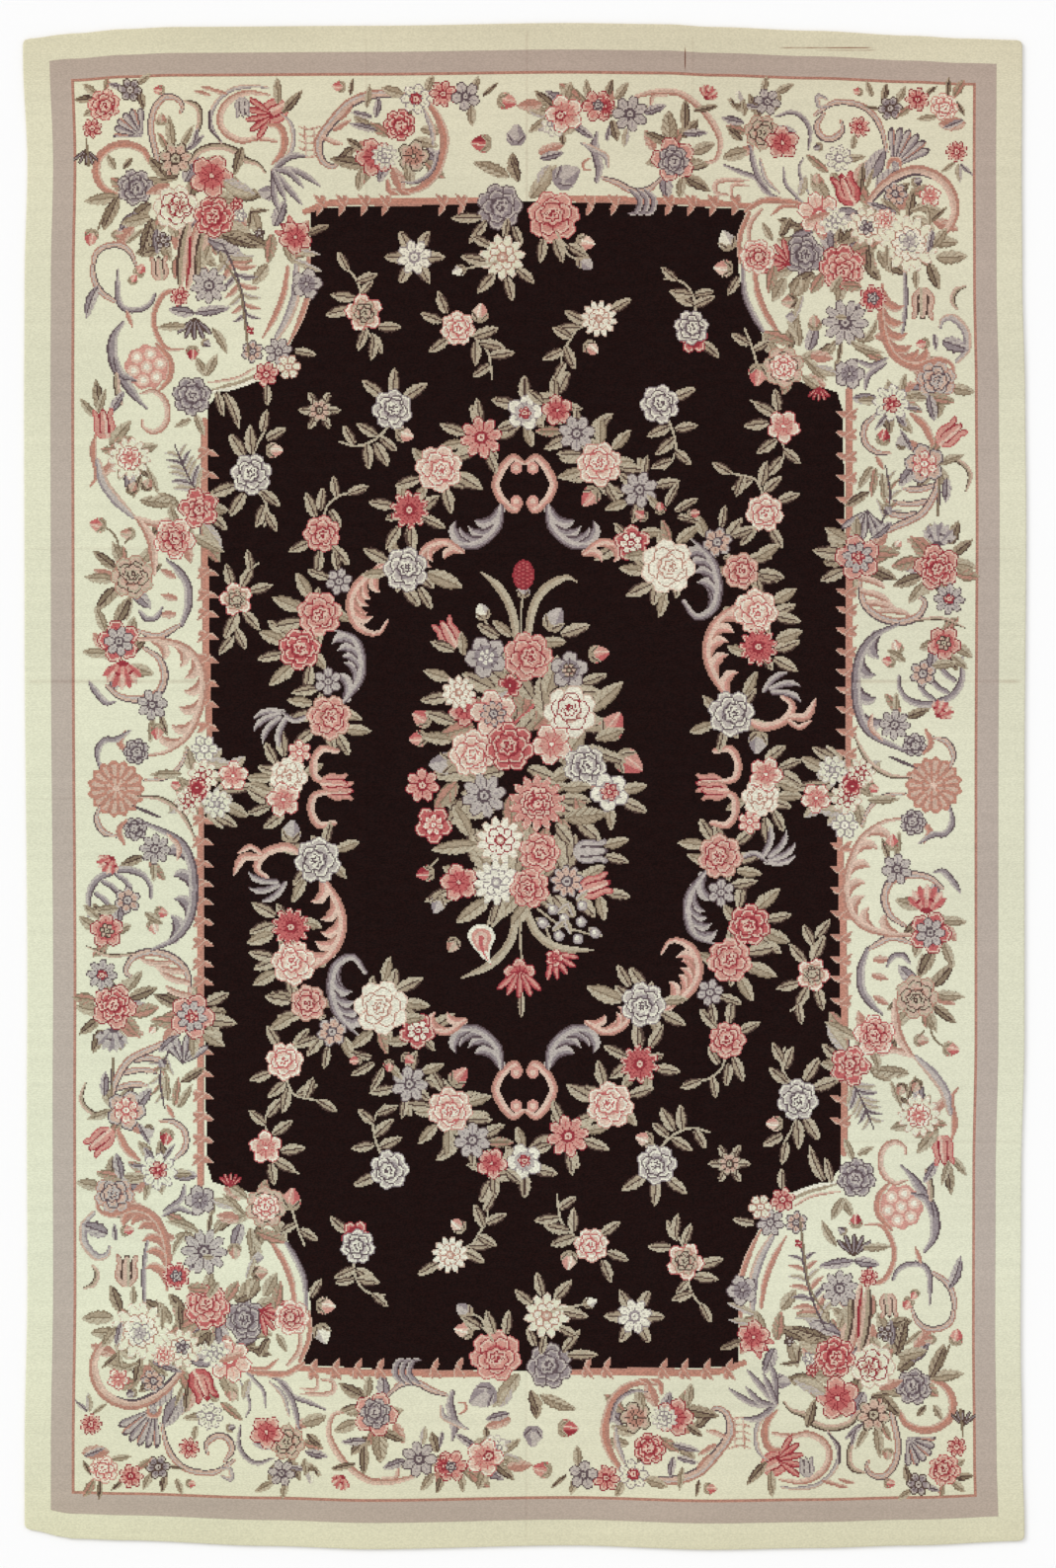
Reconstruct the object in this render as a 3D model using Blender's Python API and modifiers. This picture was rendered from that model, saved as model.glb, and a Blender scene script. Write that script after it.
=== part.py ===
# Floral aubusson rug, one flat woven piece lying on a floor.
# Metres, +Z up. X runs across the rug, +Y along it to the end at the top of the photograph.
# The origin is the middle of the rug on the floor.

import math

import bmesh
import bpy

LENGTH = 2.74
WIDTH = 1.80
THICKNESS = 0.005

RIM_ROUND = 0.0016
CORNER_ROUND = 0.010
STATION_PITCH = 0.105

# How far the real edge stands out from the straight rectangle, in millimetres.
# Each row: place along the edge in metres from its middle, then the stand-out.
LEFT_EDGE = ((-1.37, 0), (-1.21, 0), (-0.90, -5), (-0.57, -4), (-0.36, -5), (0.28, 0), (0.71, 1),
             (0.92, 0), (1.13, -5), (1.34, 3))
RIGHT_EDGE = ((-1.34, 0), (-1.21, -4), (-0.99, -7), (-0.70, -6), (-0.45, 0), (0.00, 0), (0.49, 3),
              (0.71, 1), (0.92, -4), (1.13, -5), (1.34, -4))
TOP_EDGE = ((-0.90, -23), (-0.81, -13), (-0.72, -5), (-0.63, -1), (-0.28, 1), (0.08, 6), (0.25, 4),
            (0.34, -1), (0.52, -8), (0.70, -17), (0.79, -22), (0.90, -25))
BOTTOM_EDGE = ((-0.90, -33), (-0.81, -16), (-0.72, -13), (-0.46, -3), (-0.28, 3), (0.08, -4),
               (0.34, 4), (0.52, 1), (0.70, -4), (0.90, -12))

# Old fold lines. "across" lines run along X at a Y place, "along" lines run along Y at an X place.
# Each row: direction, place, where the line starts and ends, half width, and height (a ridge
# above zero, a trough below), all in metres.
CREASES = (
    ("along", -0.286, -0.55, 1.36, 0.036, 0.0016),
    ("along", 0.004, -1.36, 0.95, 0.030, -0.0010),
    ("along", 0.302, -1.10, 1.36, 0.036, 0.0014),
    ("across", 0.430, -0.90, 0.90, 0.036, 0.0016),
    ("across", 0.190, -0.62, 0.90, 0.030, -0.0010),
    ("across", -0.020, -0.90, 0.72, 0.036, 0.0018),
    ("across", -0.640, -0.50, 0.90, 0.032, -0.0008),
)
CREASE_FADE = 0.24

WOOL_COLOR = (0.62, 0.56, 0.42, 1.0)
WOOL_ROUGHNESS = 0.95


def clear_scene():
    for old in list(bpy.data.objects):
        bpy.data.objects.remove(old, do_unlink=True)


def edge_stand_out(edge, place):
    """Stand-out of an edge at a place along it, eased between the rows, in metres."""
    if place <= edge[0][0]:
        return edge[0][1] / 1000
    for (start, first), (end, second) in zip(edge, edge[1:]):
        if place <= end:
            t = (place - start) / (end - start)
            eased = t * t * (3 - 2 * t)
            return (first + (second - first) * eased) / 1000
    return edge[-1][1] / 1000


def fit_to_edges(x, y):
    """Moves a point of the straight rectangle so that its rim follows the uneven edges."""
    u = x / (WIDTH / 2)
    v = y / (LENGTH / 2)
    right = max(u, 0) ** 4 * edge_stand_out(RIGHT_EDGE, y)
    left = max(-u, 0) ** 4 * edge_stand_out(LEFT_EDGE, y)
    top = max(v, 0) ** 4 * edge_stand_out(TOP_EDGE, x)
    bottom = max(-v, 0) ** 4 * edge_stand_out(BOTTOM_EDGE, x)
    return x + right - left, y + top - bottom


def crease_rise(x, y):
    """Height of the fold lines at a point: each is a soft round ridge or trough."""
    rise = 0.0
    for direction, place, start, end, half_width, height in CREASES:
        across, along = (x, y) if direction == "along" else (y, x)
        off = abs(across - place)
        if off < half_width:
            inside = min(along - start, end - along) / CREASE_FADE
            strength = min(max(inside, 0.0), 1.0)
            rise += strength * height * 0.5 * (1 + math.cos(math.pi * off / half_width))
    return rise


def stations(length, direction):
    """Places of the cross lines: even steps, one near each end, and five on each fold line."""
    half = length / 2
    creases = [(row[1], row[4]) for row in CREASES if row[0] == direction]
    places = [place + part * wide for place, wide in creases for part in (-1, -0.5, 0, 0.5, 1)]
    places += [0.04 - half, half - 0.04]
    steps = round(length / STATION_PITCH)
    for step in range(1, steps):
        even = -half + length * step / steps
        if all(abs(even - other) > 0.4 * STATION_PITCH for other in places):
            places.append(even)
    return sorted(places)


def cut_sheet_into_cells(bm):
    """Cuts the flat sheet along every cross line, so that it can bend there."""
    for place in stations(WIDTH, "along"):
        bmesh.ops.bisect_plane(bm, geom=bm.verts[:] + bm.edges[:] + bm.faces[:],
                               plane_co=(place, 0, 0), plane_no=(1, 0, 0))
    for place in stations(LENGTH, "across"):
        bmesh.ops.bisect_plane(bm, geom=bm.verts[:] + bm.edges[:] + bm.faces[:],
                               plane_co=(0, place, 0), plane_no=(0, 1, 0))


def round_plan_corners(bm):
    corners = [v for v in bm.verts if len(v.link_edges) == 2]
    bmesh.ops.bevel(bm, geom=corners, affect="VERTICES", offset=CORNER_ROUND, segments=3,
                    profile=0.5)


def raise_upper_face(bm):
    """Gives the sheet its thickness. A ridge lifts the underside too, and a trough does not."""
    made = bmesh.ops.extrude_face_region(bm, geom=bm.faces[:])["geom"]
    upper = {item for item in made if isinstance(item, bmesh.types.BMVert)}
    for vert in bm.verts:
        rise = crease_rise(vert.co.x, vert.co.y)
        vert.co.z = THICKNESS + rise if vert in upper else max(rise, 0.0)
    for vert in bm.verts:
        vert.co.x, vert.co.y = fit_to_edges(vert.co.x, vert.co.y)
    bmesh.ops.recalc_face_normals(bm, faces=bm.faces[:])


def wool_material():
    material = bpy.data.materials.new("rug_wool")
    material.use_nodes = True
    shader = material.node_tree.nodes["Principled BSDF"]
    shader.inputs["Base Color"].default_value = WOOL_COLOR
    shader.inputs["Roughness"].default_value = WOOL_ROUGHNESS
    shader.inputs["Metallic"].default_value = 0.0
    return material


def make_rug(collection):
    """The whole rug: one cloth with its edges turned under, so it has no sewn-on border."""
    bm = bmesh.new()
    bmesh.ops.create_grid(bm, x_segments=1, y_segments=1, size=0.5)
    bmesh.ops.scale(bm, vec=(WIDTH, LENGTH, 1), verts=bm.verts[:])
    cut_sheet_into_cells(bm)
    round_plan_corners(bm)
    raise_upper_face(bm)
    mesh = bpy.data.meshes.new("rug")
    bm.to_mesh(mesh)
    bm.free()

    rug = bpy.data.objects.new("rug", mesh)
    collection.objects.link(rug)
    rim = rug.modifiers.new("rounded_rim", "BEVEL")
    rim.limit_method = "ANGLE"
    rim.angle_limit = math.radians(50)
    rim.width = RIM_ROUND
    rim.segments = 2
    mesh.materials.append(wool_material())
    mesh.shade_smooth()
    mesh.set_sharp_from_angle(angle=math.radians(40))
    return rug


def main():
    clear_scene()
    collection = bpy.data.collections.new("aubusson_rug")
    bpy.context.scene.collection.children.link(collection)
    make_rug(collection)


main()
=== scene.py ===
import math

import bpy
import numpy as np
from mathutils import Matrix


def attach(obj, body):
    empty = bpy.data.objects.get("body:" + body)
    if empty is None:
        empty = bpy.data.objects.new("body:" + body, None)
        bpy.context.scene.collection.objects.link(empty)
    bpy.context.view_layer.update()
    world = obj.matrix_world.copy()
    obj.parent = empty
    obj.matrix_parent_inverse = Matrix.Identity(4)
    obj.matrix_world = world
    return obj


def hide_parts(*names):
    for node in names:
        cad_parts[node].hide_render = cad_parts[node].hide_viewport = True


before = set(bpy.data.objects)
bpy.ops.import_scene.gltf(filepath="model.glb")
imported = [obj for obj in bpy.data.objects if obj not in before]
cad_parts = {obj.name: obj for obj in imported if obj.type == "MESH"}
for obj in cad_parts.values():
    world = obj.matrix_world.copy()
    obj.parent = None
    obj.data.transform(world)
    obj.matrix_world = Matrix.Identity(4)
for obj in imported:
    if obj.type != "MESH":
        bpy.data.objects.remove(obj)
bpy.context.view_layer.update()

# How far the real edge stands out from the straight rectangle: place in metres, then millimetres
LENGTH = 2.74
WIDTH = 1.80
LEFT_EDGE = ((-1.37, 0), (-1.21, 0), (-0.90, -5), (-0.57, -4), (-0.36, -5), (0.28, 0), (0.71, 1),
             (0.92, 0), (1.13, -5), (1.34, 3))
RIGHT_EDGE = ((-1.34, 0), (-1.21, -4), (-0.99, -7), (-0.70, -6), (-0.45, 0), (0.00, 0), (0.49, 3),
              (0.71, 1), (0.92, -4), (1.13, -5), (1.34, -4))
TOP_EDGE = ((-0.90, -23), (-0.81, -13), (-0.72, -5), (-0.63, -1), (-0.28, 1), (0.08, 6), (0.25, 4),
            (0.34, -1), (0.52, -8), (0.70, -17), (0.79, -22), (0.90, -25))
BOTTOM_EDGE = ((-0.90, -33), (-0.81, -16), (-0.72, -13), (-0.46, -3), (-0.28, 3), (0.08, -4),
               (0.34, 4), (0.52, 1), (0.70, -4), (0.90, -12))


def stand_out(edge, place):
    """Stand-out of an edge at places along it, eased between the rows, in metres."""
    rows = np.array(edge, float)
    after = np.clip(np.searchsorted(rows[:, 0], place), 1, len(rows) - 1)
    start, end = rows[after - 1], rows[after]
    t = np.clip((place - start[..., 0]) / (end[..., 0] - start[..., 0]), 0, 1)
    eased = t * t * (3 - 2 * t)
    return (start[..., 1] + (end[..., 1] - start[..., 1]) * eased) / 1000


def fit_to_edges(x, y):
    """Moves places of the straight rectangle so that its rim follows the uneven edges."""
    u = x / (WIDTH / 2)
    v = y / (LENGTH / 2)
    right = np.clip(u, 0, None) ** 4 * stand_out(RIGHT_EDGE, y)
    left = np.clip(-u, 0, None) ** 4 * stand_out(LEFT_EDGE, y)
    top = np.clip(v, 0, None) ** 4 * stand_out(TOP_EDGE, x)
    bottom = np.clip(-v, 0, None) ** 4 * stand_out(BOTTOM_EDGE, x)
    return x + right - left, y + top - bottom


# The stitch chart. Places and sizes in it are centimetres from the middle of the rug.
STITCH = 0.25
COLUMNS = 724
ROWS = 1104

# Each yarn's colour as 8-bit sRGB, in the order in which the chart counts them
YARNS = {
    "ivory": (222, 219, 194),
    "white": (228, 222, 203),
    "blush": (216, 186, 168),
    "salmon": (202, 146, 133),
    "coral": (186, 98, 96),
    "crimson": (148, 50, 58),
    "rose": (178, 130, 114),
    "dusk": (200, 170, 152),
    "lilac": (186, 175, 167),
    "slate": (148, 135, 136),
    "plum": (96, 79, 83),
    "sand": (186, 173, 150),
    "khaki": (166, 149, 126),
    "olive": (132, 114, 93),
    "umber": (84, 63, 55),
    "mauve": (184, 169, 158),
    "black": (28, 9, 7),
    "ribbon": (188, 132, 114),
}
YARN_INDEX = {name: number for number, name in enumerate(YARNS)}

# Colourways. Flowers: dark line, shade, body, highlight. Leaves: dark line, shade, body.
FLOWER_WAYS = {
    "coral": ("crimson", "coral", "salmon", "blush"),
    "red": ("crimson", "crimson", "coral", "blush"),
    "boss": ("rose", "ribbon", "dusk", "blush"),
    "pink": ("coral", "salmon", "blush", "white"),
    "rose": ("umber", "rose", "dusk", "sand"),
    "mauve": ("plum", "rose", "dusk", "lilac"),
    "slate": ("plum", "slate", "lilac", "lilac"),
    "steel": ("plum", "plum", "slate", "lilac"),
    "pearl": ("rose", "blush", "white", "white"),
    "brick": ("crimson", "rose", "salmon", "blush"),
    "peony": ("crimson", "dusk", "ivory", "white"),
    "cream": ("rose", "dusk", "ivory", "white"),
    "shell": ("slate", "lilac", "ivory", "white"),
    "moon": ("plum", "slate", "lilac", "white"),
    "deep": ("umber", "plum", "slate", "lilac"),
    "frost": ("slate", "lilac", "white", "white"),
    "white": ("crimson", "dusk", "white", "white"),
    "blush": ("rose", "dusk", "white", "white"),
    "tan": ("umber", "rose", "dusk", "sand"),
    "field_coral": ("coral", "salmon", "blush", "white"),
    "field_slate": ("slate", "lilac", "white", "white"),
}
LEAF_WAYS = {
    "khaki": ("olive", "khaki", "sand"),
    "dark": ("umber", "olive", "khaki"),
    "tan": ("olive", "rose", "khaki"),
    "grey": ("plum", "slate", "lilac"),
    "pink": ("rose", "rose", "dusk"),
    "night": ("umber", "khaki", "sand"),
    "pale": ("khaki", "sand", "lilac"),
}

chart = np.zeros((ROWS, COLUMNS), np.uint8)
column_x = (np.arange(COLUMNS) + 0.5 - COLUMNS / 2) * STITCH
row_y = (ROWS / 2 - 0.5 - np.arange(ROWS)) * STITCH

# Most of the pattern is worked twice, the second time turned by half a turn
ONCE = (chart,)
TWICE = (chart, chart[::-1, ::-1])
copies = ONCE


def straight(x, y):
    """The chart's place, in centimetres, for a place on the real rug, whose weave is bent."""
    if abs(x) < 40 and abs(y) < 80:
        return x, y
    u, v = x, y
    for _ in range(2):
        bent = fit_to_edges(u / 100, v / 100)
        u, v = u + x - 100 * bent[0], v + y - 100 * bent[1]
    return u, v


class Spot:
    """The stitches near one place, in a motif's own axes: u along its turn, v to the left."""

    def __init__(self, x, y, reach, turn=0.0, on_rug=True):
        if on_rug:
            x, y = straight(x, y)
        left = min(max(int((x - reach) / STITCH + COLUMNS / 2), 0), COLUMNS)
        right = min(max(int((x + reach) / STITCH + COLUMNS / 2) + 2, 0), COLUMNS)
        top = min(max(int(ROWS / 2 - (y + reach) / STITCH), 0), ROWS)
        bottom = min(max(int(ROWS / 2 - (y - reach) / STITCH) + 2, 0), ROWS)
        self.window = (slice(top, bottom), slice(left, right))
        dx = column_x[None, left:right] - x
        dy = row_y[top:bottom, None] - y
        along = math.cos(math.radians(turn))
        across = math.sin(math.radians(turn))
        self.u = dx * along + dy * across
        self.v = dy * along - dx * across
        self.r = np.hypot(self.u, self.v)
        self.a = np.arctan2(self.v, self.u)

    def paint(self, mask, yarn):
        for copy in copies:
            copy[self.window][mask] = YARN_INDEX[yarn]


def petals_ring(s, size, ring, radius, count, phase, yarns, narrow=1.0):
    """Overlapping round petals on a ring: outline, shade near the heart, body, pale rim."""
    dark, shade, body, light = yarns
    u, v = s.u / size, s.v / size
    for number in range(count):
        angle = phase + 2 * math.pi * number / count
        c, t = math.cos(angle), math.sin(angle)
        along = (u * c + v * t - ring) / radius
        side = (v * c - u * t) / (radius * narrow)
        near = np.hypot(along, side) + 0.05 * np.cos(6 * np.arctan2(side, along) + number)
        line = 0.21 / (radius * size)
        s.paint(near < 1, dark)
        s.paint(near < 1 - line, body)
        s.paint((near < 1 - line) & (along < 0.05 - 0.3 * np.abs(side)), shade)
        s.paint((near < 1 - line) & (near > 1 - 2.6 * line) & (along > 0.1), light)


def rose(x, y, size, turn, way):
    """A full rose: ruffled outer petals, a cup of nested lips, and a dark heart to one side."""
    dark, shade, body, light = FLOWER_WAYS[way]
    s = Spot(x, y, size * 1.2, turn)
    q = s.r / size
    s.paint(q < 0.9, shade)
    petals_ring(s, size, 0.66, 0.40, 7, 0.7 * x, (shade, shade, body, light))
    petals_ring(s, size, 0.42, 0.36, 5, 1.3 * y, (dark, shade, body, light))
    lean = Spot(*s_point(x, y, turn, 0.08 * size, -0.10 * size), size, turn)
    p = lean.r / size
    wave = 0.04 * np.cos(7 * lean.a + x)
    thin = 0.13 / size
    lean.paint(p < 0.47 + wave, dark)
    lean.paint(p < 0.47 - 2 * thin + wave, body)
    for lip, facing in ((0.36, 2.2), (0.25, 5.0), (0.15, 1.2)):
        open_side = np.cos(lean.a - facing) > -0.45
        lean.paint((p < lip + wave) & (p > lip - 2.4 * thin + wave) & open_side, light)
        lean.paint((p < lip - 2.4 * thin + wave) & (p > lip - 5 * thin + wave) & open_side, dark)
    lean.paint((p < 0.10) & (np.cos(lean.a) > 0), dark)


def daisy(x, y, size, turn, way, petals=8, eye=0.30):
    """A flat open flower: separate petals with a vein each, round a ringed eye."""
    dark, shade, body, light = FLOWER_WAYS[way]
    s = Spot(x, y, size * 1.15, turn)
    q = s.r / size
    half = min(math.pi / petals * 0.62, 0.36)
    s.paint(q < 0.6, dark)
    petals_ring(s, size, 0.62, 0.38, petals, 0.4 * x, (dark, body, body, light), half / 0.38 * 1.05)
    vein = np.abs((s.a - 0.4 * x) * petals / (2 * math.pi) % 1 - 0.5) * 2 * math.pi * q
    s.paint((vein > (math.pi - 0.32) * q) & (q < 0.74) & (q > eye), shade)
    s.paint(q < eye, dark)
    s.paint(q < eye * 0.70, light)
    s.paint(q < eye * 0.28, dark)


def bold(x, y, size, turn, way):
    """A daisy of seven broad petals with a small eye."""
    daisy(x, y, size, turn, way, petals=7, eye=0.26)


def azalea(x, y, size, turn, way):
    """Five broad wavy petals with veins from the throat."""
    dark, shade, body, light = FLOWER_WAYS[way]
    s = Spot(x, y, size * 1.2, turn)
    q = s.r / size
    petals_ring(s, size, 0.56, 0.47, 5, 0.5 * y, (dark, shade, body, light), 0.92)
    part = (s.a - 0.5 * y) * 5 / (2 * math.pi)
    middle = np.abs(part % 1 - 0.5)
    s.paint((middle > 0.46) & (q < 0.66), dark)
    s.paint((middle > 0.36) & (middle < 0.41) & (q < 0.56), shade)
    s.paint(q < 0.17, dark)
    s.paint(q < 0.10, light)


def mum(x, y, size, turn, way, petals=11):
    """A pale full flower: narrow outlined petals in two rings round a small eye."""
    dark, shade, body, light = FLOWER_WAYS[way]
    s = Spot(x, y, size * 1.15, turn)
    q = s.r / size
    narrow = math.pi / petals * 0.68 / 0.36
    s.paint(q < 0.7, shade)
    petals_ring(s, size, 0.66, 0.36, petals, 0.3 * x, (shade, body, body, light), narrow)
    petals_ring(s, size, 0.36, 0.26, max(petals - 4, 5), 0.9 * y, (dark, body, light, light), 0.8)
    s.paint(q < 0.24, dark)
    s.paint(q < 0.16, shade)
    s.paint(q < 0.08, light)


def tulip(x, y, size, turn, way):
    """A cup of pointed petals with flared tips along the turn."""
    dark, shade, body, light = FLOWER_WAYS[way]
    s = Spot(x, y, size * 1.5, turn)
    t = s.u / size
    cup = 0.72 * np.sqrt(np.clip(1 - (np.clip(t + 0.15, -1, 0) / 0.85) ** 2, 0, 1))
    half = cup - 0.22 * np.clip(t + 0.15, 0, 0.6) + 0.55 * np.clip(t - 0.45, 0, 1)
    p = s.v / size
    tips = 0.52 + 0.45 * np.abs(np.cos(1.5 * math.pi * p / np.maximum(half, 0.1))) ** 0.7
    whole = (t > -1.0) & (t < tips) & (np.abs(p) < half)
    s.paint(whole, shade)
    s.paint(whole & (np.abs(p) < half - 0.10) & (t < tips - 0.12), body)
    s.paint(whole & (np.abs(p + 0.12) < 0.09) & (t < tips - 0.2), light)
    s.paint(whole & (np.abs(np.abs(p) - half * 0.42) < 0.055) & (t > -0.6), dark)
    s.paint(whole & (t > tips - 0.13) & (np.abs(p) < half * 0.5), dark)


def bud(x, y, size, turn, way, calyx="khaki"):
    """A small closed bud in its calyx, its tip along the turn."""
    dark, shade, body, light = FLOWER_WAYS[way]
    s = Spot(x, y, size * 1.8, turn)
    t = s.u / size
    half = size * 0.72 * np.sqrt(np.clip(1 - (t * 0.95) ** 2, 0, 1)) * np.clip(1.15 - 0.45 * t, 0, 2)
    whole = (np.abs(t) < 1.1) & (np.abs(s.v) < half)
    s.paint(whole, body)
    s.paint(whole & (s.v < -0.25 * half), shade)
    s.paint(whole & (np.abs(s.v - 0.2 * half) < 0.15), light)
    s.paint(whole & (t < -0.45), LEAF_WAYS[calyx][1])
    for side in (-1, 1):
        leaf(*s_point(x, y, turn, -0.8 * size, 0.2 * side * size), size * 1.1, turn + 38 * side,
             calyx, wide=0.22)


def s_point(x, y, turn, u, v):
    """A place given in a motif's own axes, in the chart's."""
    c = math.cos(math.radians(turn))
    s = math.sin(math.radians(turn))
    return x + u * c - v * s, y + u * s + v * c


def bell(x, y, size, turn, way):
    """A half-open lily: five pointed petals that spread along the turn from a slim throat."""
    dark, shade, body, light = FLOWER_WAYS[way]
    foot = s_point(x, y, turn, -size, 0)
    for spread in (-46, 46, -24, 24, 0):
        petal = Spot(*s_point(*foot, turn + spread * 0.8, size * 1.1, 0), size * 1.3, turn + spread)
        t = np.clip(petal.u / (size * 1.9) + 0.5, 0, 1)
        half = size * 0.62 * t ** 1.1 * (1 - t) ** 0.55
        whole = (np.abs(petal.u) < size * 0.95) & (np.abs(petal.v) < half)
        petal.paint(whole, dark)
        petal.paint(whole & (np.abs(petal.v) < half - 0.22), shade)
        petal.paint(whole & (petal.v > -0.1) & (petal.v < half - 0.24), body)


def carnation(x, y, size, turn, way):
    """A fringed fan of petals that opens along the turn from a small calyx."""
    dark, shade, body, light = FLOWER_WAYS[way]
    s = Spot(*s_point(x, y, turn, -0.75 * size, 0), size * 2.2, turn)
    q = s.r / (size * 1.75)
    fringe = 1 + 0.07 * np.cos(22 * s.a)
    whole = (np.abs(s.a) < 1.05) & (q < fringe - 0.22 * s.a ** 2)
    s.paint(whole, body)
    s.paint(whole & (np.cos(11 * s.a + x) > 0.35), shade)
    s.paint(whole & (q > 0.55) & (np.cos(11 * s.a + x) < -0.6), light)
    s.paint(whole & (q > 0.50) & (q < 0.60) & (np.cos(7 * s.a + y) > 0.2), dark)
    s.paint(whole & (q < 0.26), dark)


def leaf(x, y, length, turn, way, wide=0.28, bend=0.0):
    """A pointed leaf from its stalk end: a toothed edge, a rib, and shade below the rib."""
    dark, shade, body = LEAF_WAYS[way]
    middle = s_point(x, y, turn, length / 2, 0)
    s = Spot(*middle, length * 0.62 + 0.3, turn)
    t = np.clip(s.u / length + 0.5, 0, 1)
    tooth = 1 - 0.16 * ((t * length / 1.25) % 1)
    half = wide * length * 2.25 * t ** 0.62 * (1 - t) ** 0.8 * tooth
    off = s.v - bend * length * 4 * t * (1 - t)
    whole = (np.abs(s.u) < length / 2) & (np.abs(off) < np.maximum(half, 0.10))
    s.paint(whole, body)
    s.paint(whole & (off < 0), shade)
    s.paint(whole & (off < 0) & (off < 0.30 - half) & (half > 0.6), dark)
    s.paint(whole & (off > 0.12) & (half > 0.7) & ((s.u * 0.9 - off * 1.1) % 1.3 < 0.28), shade)
    s.paint(whole & (np.abs(off) < 0.13) & (t < 0.86), dark)


def veined(x, y, length, turn, way, wide=0.24, bend=0.0):
    """A bigger leaf with side veins."""
    leaf(x, y, length, turn, way, wide, bend)
    dark, shade, body = LEAF_WAYS[way]
    s = Spot(*s_point(x, y, turn, length / 2, 0), length * 0.62 + 0.3, turn)
    t = np.clip(s.u / length + 0.5, 0, 1)
    half = wide * length * 2.1 * t ** 0.7 * (1 - t) ** 0.75
    off = s.v - bend * length * 4 * t * (1 - t)
    whole = (np.abs(s.u) < length / 2) & (np.abs(off) < half)
    s.paint(whole & ((s.u * 0.9 - np.abs(off) * 1.1) % 1.15 < 0.26), dark)


def star(x, y, size, turn, way):
    """A small flower with six pointed sepals behind it."""
    for number in range(6):
        angle = turn + 60 * number
        leaf(*s_point(x, y, angle, size * 0.45, 0), size * 1.15, angle, "night", wide=0.34)
    daisy(x, y, size * 0.95, turn + 20, way, petals=8, eye=0.28)


def raspberry(x, y, size, turn, way):
    """A long red fruit dotted with dark seeds, its tip along the turn."""
    dark, shade, body, light = FLOWER_WAYS[way]
    s = Spot(x, y, size * 1.3, turn)
    q = np.hypot(s.u / size, s.v / (0.72 * size))
    s.paint(q < 1, dark)
    seeds = np.cos(s.u * 4.4) * np.cos(s.v * 4.4 + (np.floor(s.u * 1.4) % 2) * math.pi)
    s.paint((q < 0.9) & (seeds > -0.15), shade)
    s.paint((q < 0.85) & (seeds > 0.35), body)


def paisley(x, y, size, turn, way):
    """A white drop with a pink inside, its thin tip along the turn."""
    dark, shade, body, light = FLOWER_WAYS[way]
    s = Spot(x, y, size * 2.2, turn)
    bent = s.v - 0.12 * np.clip(s.u, 0, None) ** 2
    taper = np.clip(1 - np.clip(s.u, 0, None) / (size * 1.9), 0, 1)
    q = np.hypot(np.clip(s.u, None, 0), bent / np.maximum(taper, 0.02)) / size
    whole = (q < 1) & (taper > 0.05)
    s.paint(whole, light)
    s.paint(whole & (q < 0.72) & (s.u < size * 0.9), shade)
    s.paint(whole & (q < 0.46) & (s.u < size * 0.5), body)
    s.paint(whole & (q < 0.20), dark)


def rosette(x, y, size, turn, way):
    """A big round ribbed boss with a scalloped edge."""
    dark, shade, body, light = FLOWER_WAYS[way]
    s = Spot(x, y, size * 1.15, turn)
    q = s.r / size
    rib = np.cos(15 * s.a)
    whole = q < 1 + 0.06 * rib
    s.paint(whole, shade)
    s.paint(whole & (rib > 0.1) & (q > 0.42) & (q < 0.90), body)
    s.paint(whole & (rib < -0.75) & (q > 0.55), "rose")
    s.paint((q < 0.40) & (np.cos(7 * s.a) > 0.0), body)
    s.paint((np.abs(q - 0.40) < 0.05) & (rib > -0.4), "rose")
    s.paint(q < 0.12, light)


def berries(x, y, size, turn, way):
    """A round cluster with a pale light on each berry."""
    dark, shade, body, light = FLOWER_WAYS[way]
    s = Spot(x, y, size * 1.1, turn)
    s.paint(s.r / size < 0.98 + 0.05 * np.cos(9 * s.a), shade)
    rings = ((0, 1), (0.62, 6))
    for ring, count in rings:
        for number in range(count):
            angle = turn + 360 * number / count
            spot = Spot(*s_point(x, y, angle, ring * size, 0), size * 0.4)
            spot.paint(spot.r < size * 0.27, body)
            spot.paint(spot.r < size * 0.13, light)


def fan(x, y, size, start, end, ribs, way):
    """A scallop shell: ribs that spread from its foot between two angles."""
    dark, shade, body, light = FLOWER_WAYS[way]
    s = Spot(x, y, size * 1.1)
    part = (np.degrees(s.a) - start) / (end - start)
    rib = part * ribs
    side = np.abs(rib % 1 - 0.5) * 2
    q = s.r / size
    reach = 1 - 0.16 * side ** 2.2 - 0.25 * np.abs(part - 0.45) ** 2
    whole = (part > 0) & (part < 1) & (q < reach)
    s.paint(whole, body)
    s.paint(whole & (rib % 1 < 0.42), shade)
    s.paint(whole & (side * s.r > s.r - 0.9) & (side > 0.62) & (q > 0.25), dark)
    s.paint(whole & (q > reach - 0.07), dark)
    s.paint(whole & (np.abs(part * ribs % 2 - 1.2) < 0.12) & (q > 0.4), "rose")


def spline(points, step=0.12):
    """Points of a smooth curve through the given ones, a stitch or less apart."""
    p = np.array(points, float)
    p = np.vstack([2 * p[0] - p[1], p, 2 * p[-1] - p[-2]])
    out = []
    for a, b, c, d in zip(p, p[1:], p[2:], p[3:]):
        count = max(int(np.hypot(*(c - b)) / step), 2)
        t = np.linspace(0, 1, count, endpoint=False)[:, None]
        out.append(0.5 * (2 * b + (c - a) * t + (2 * a - 5 * b + 4 * c - d) * t ** 2
                          + (3 * b - a - 3 * c + d) * t ** 3))
    return np.vstack(out + [p[-2:-1]])


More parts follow.
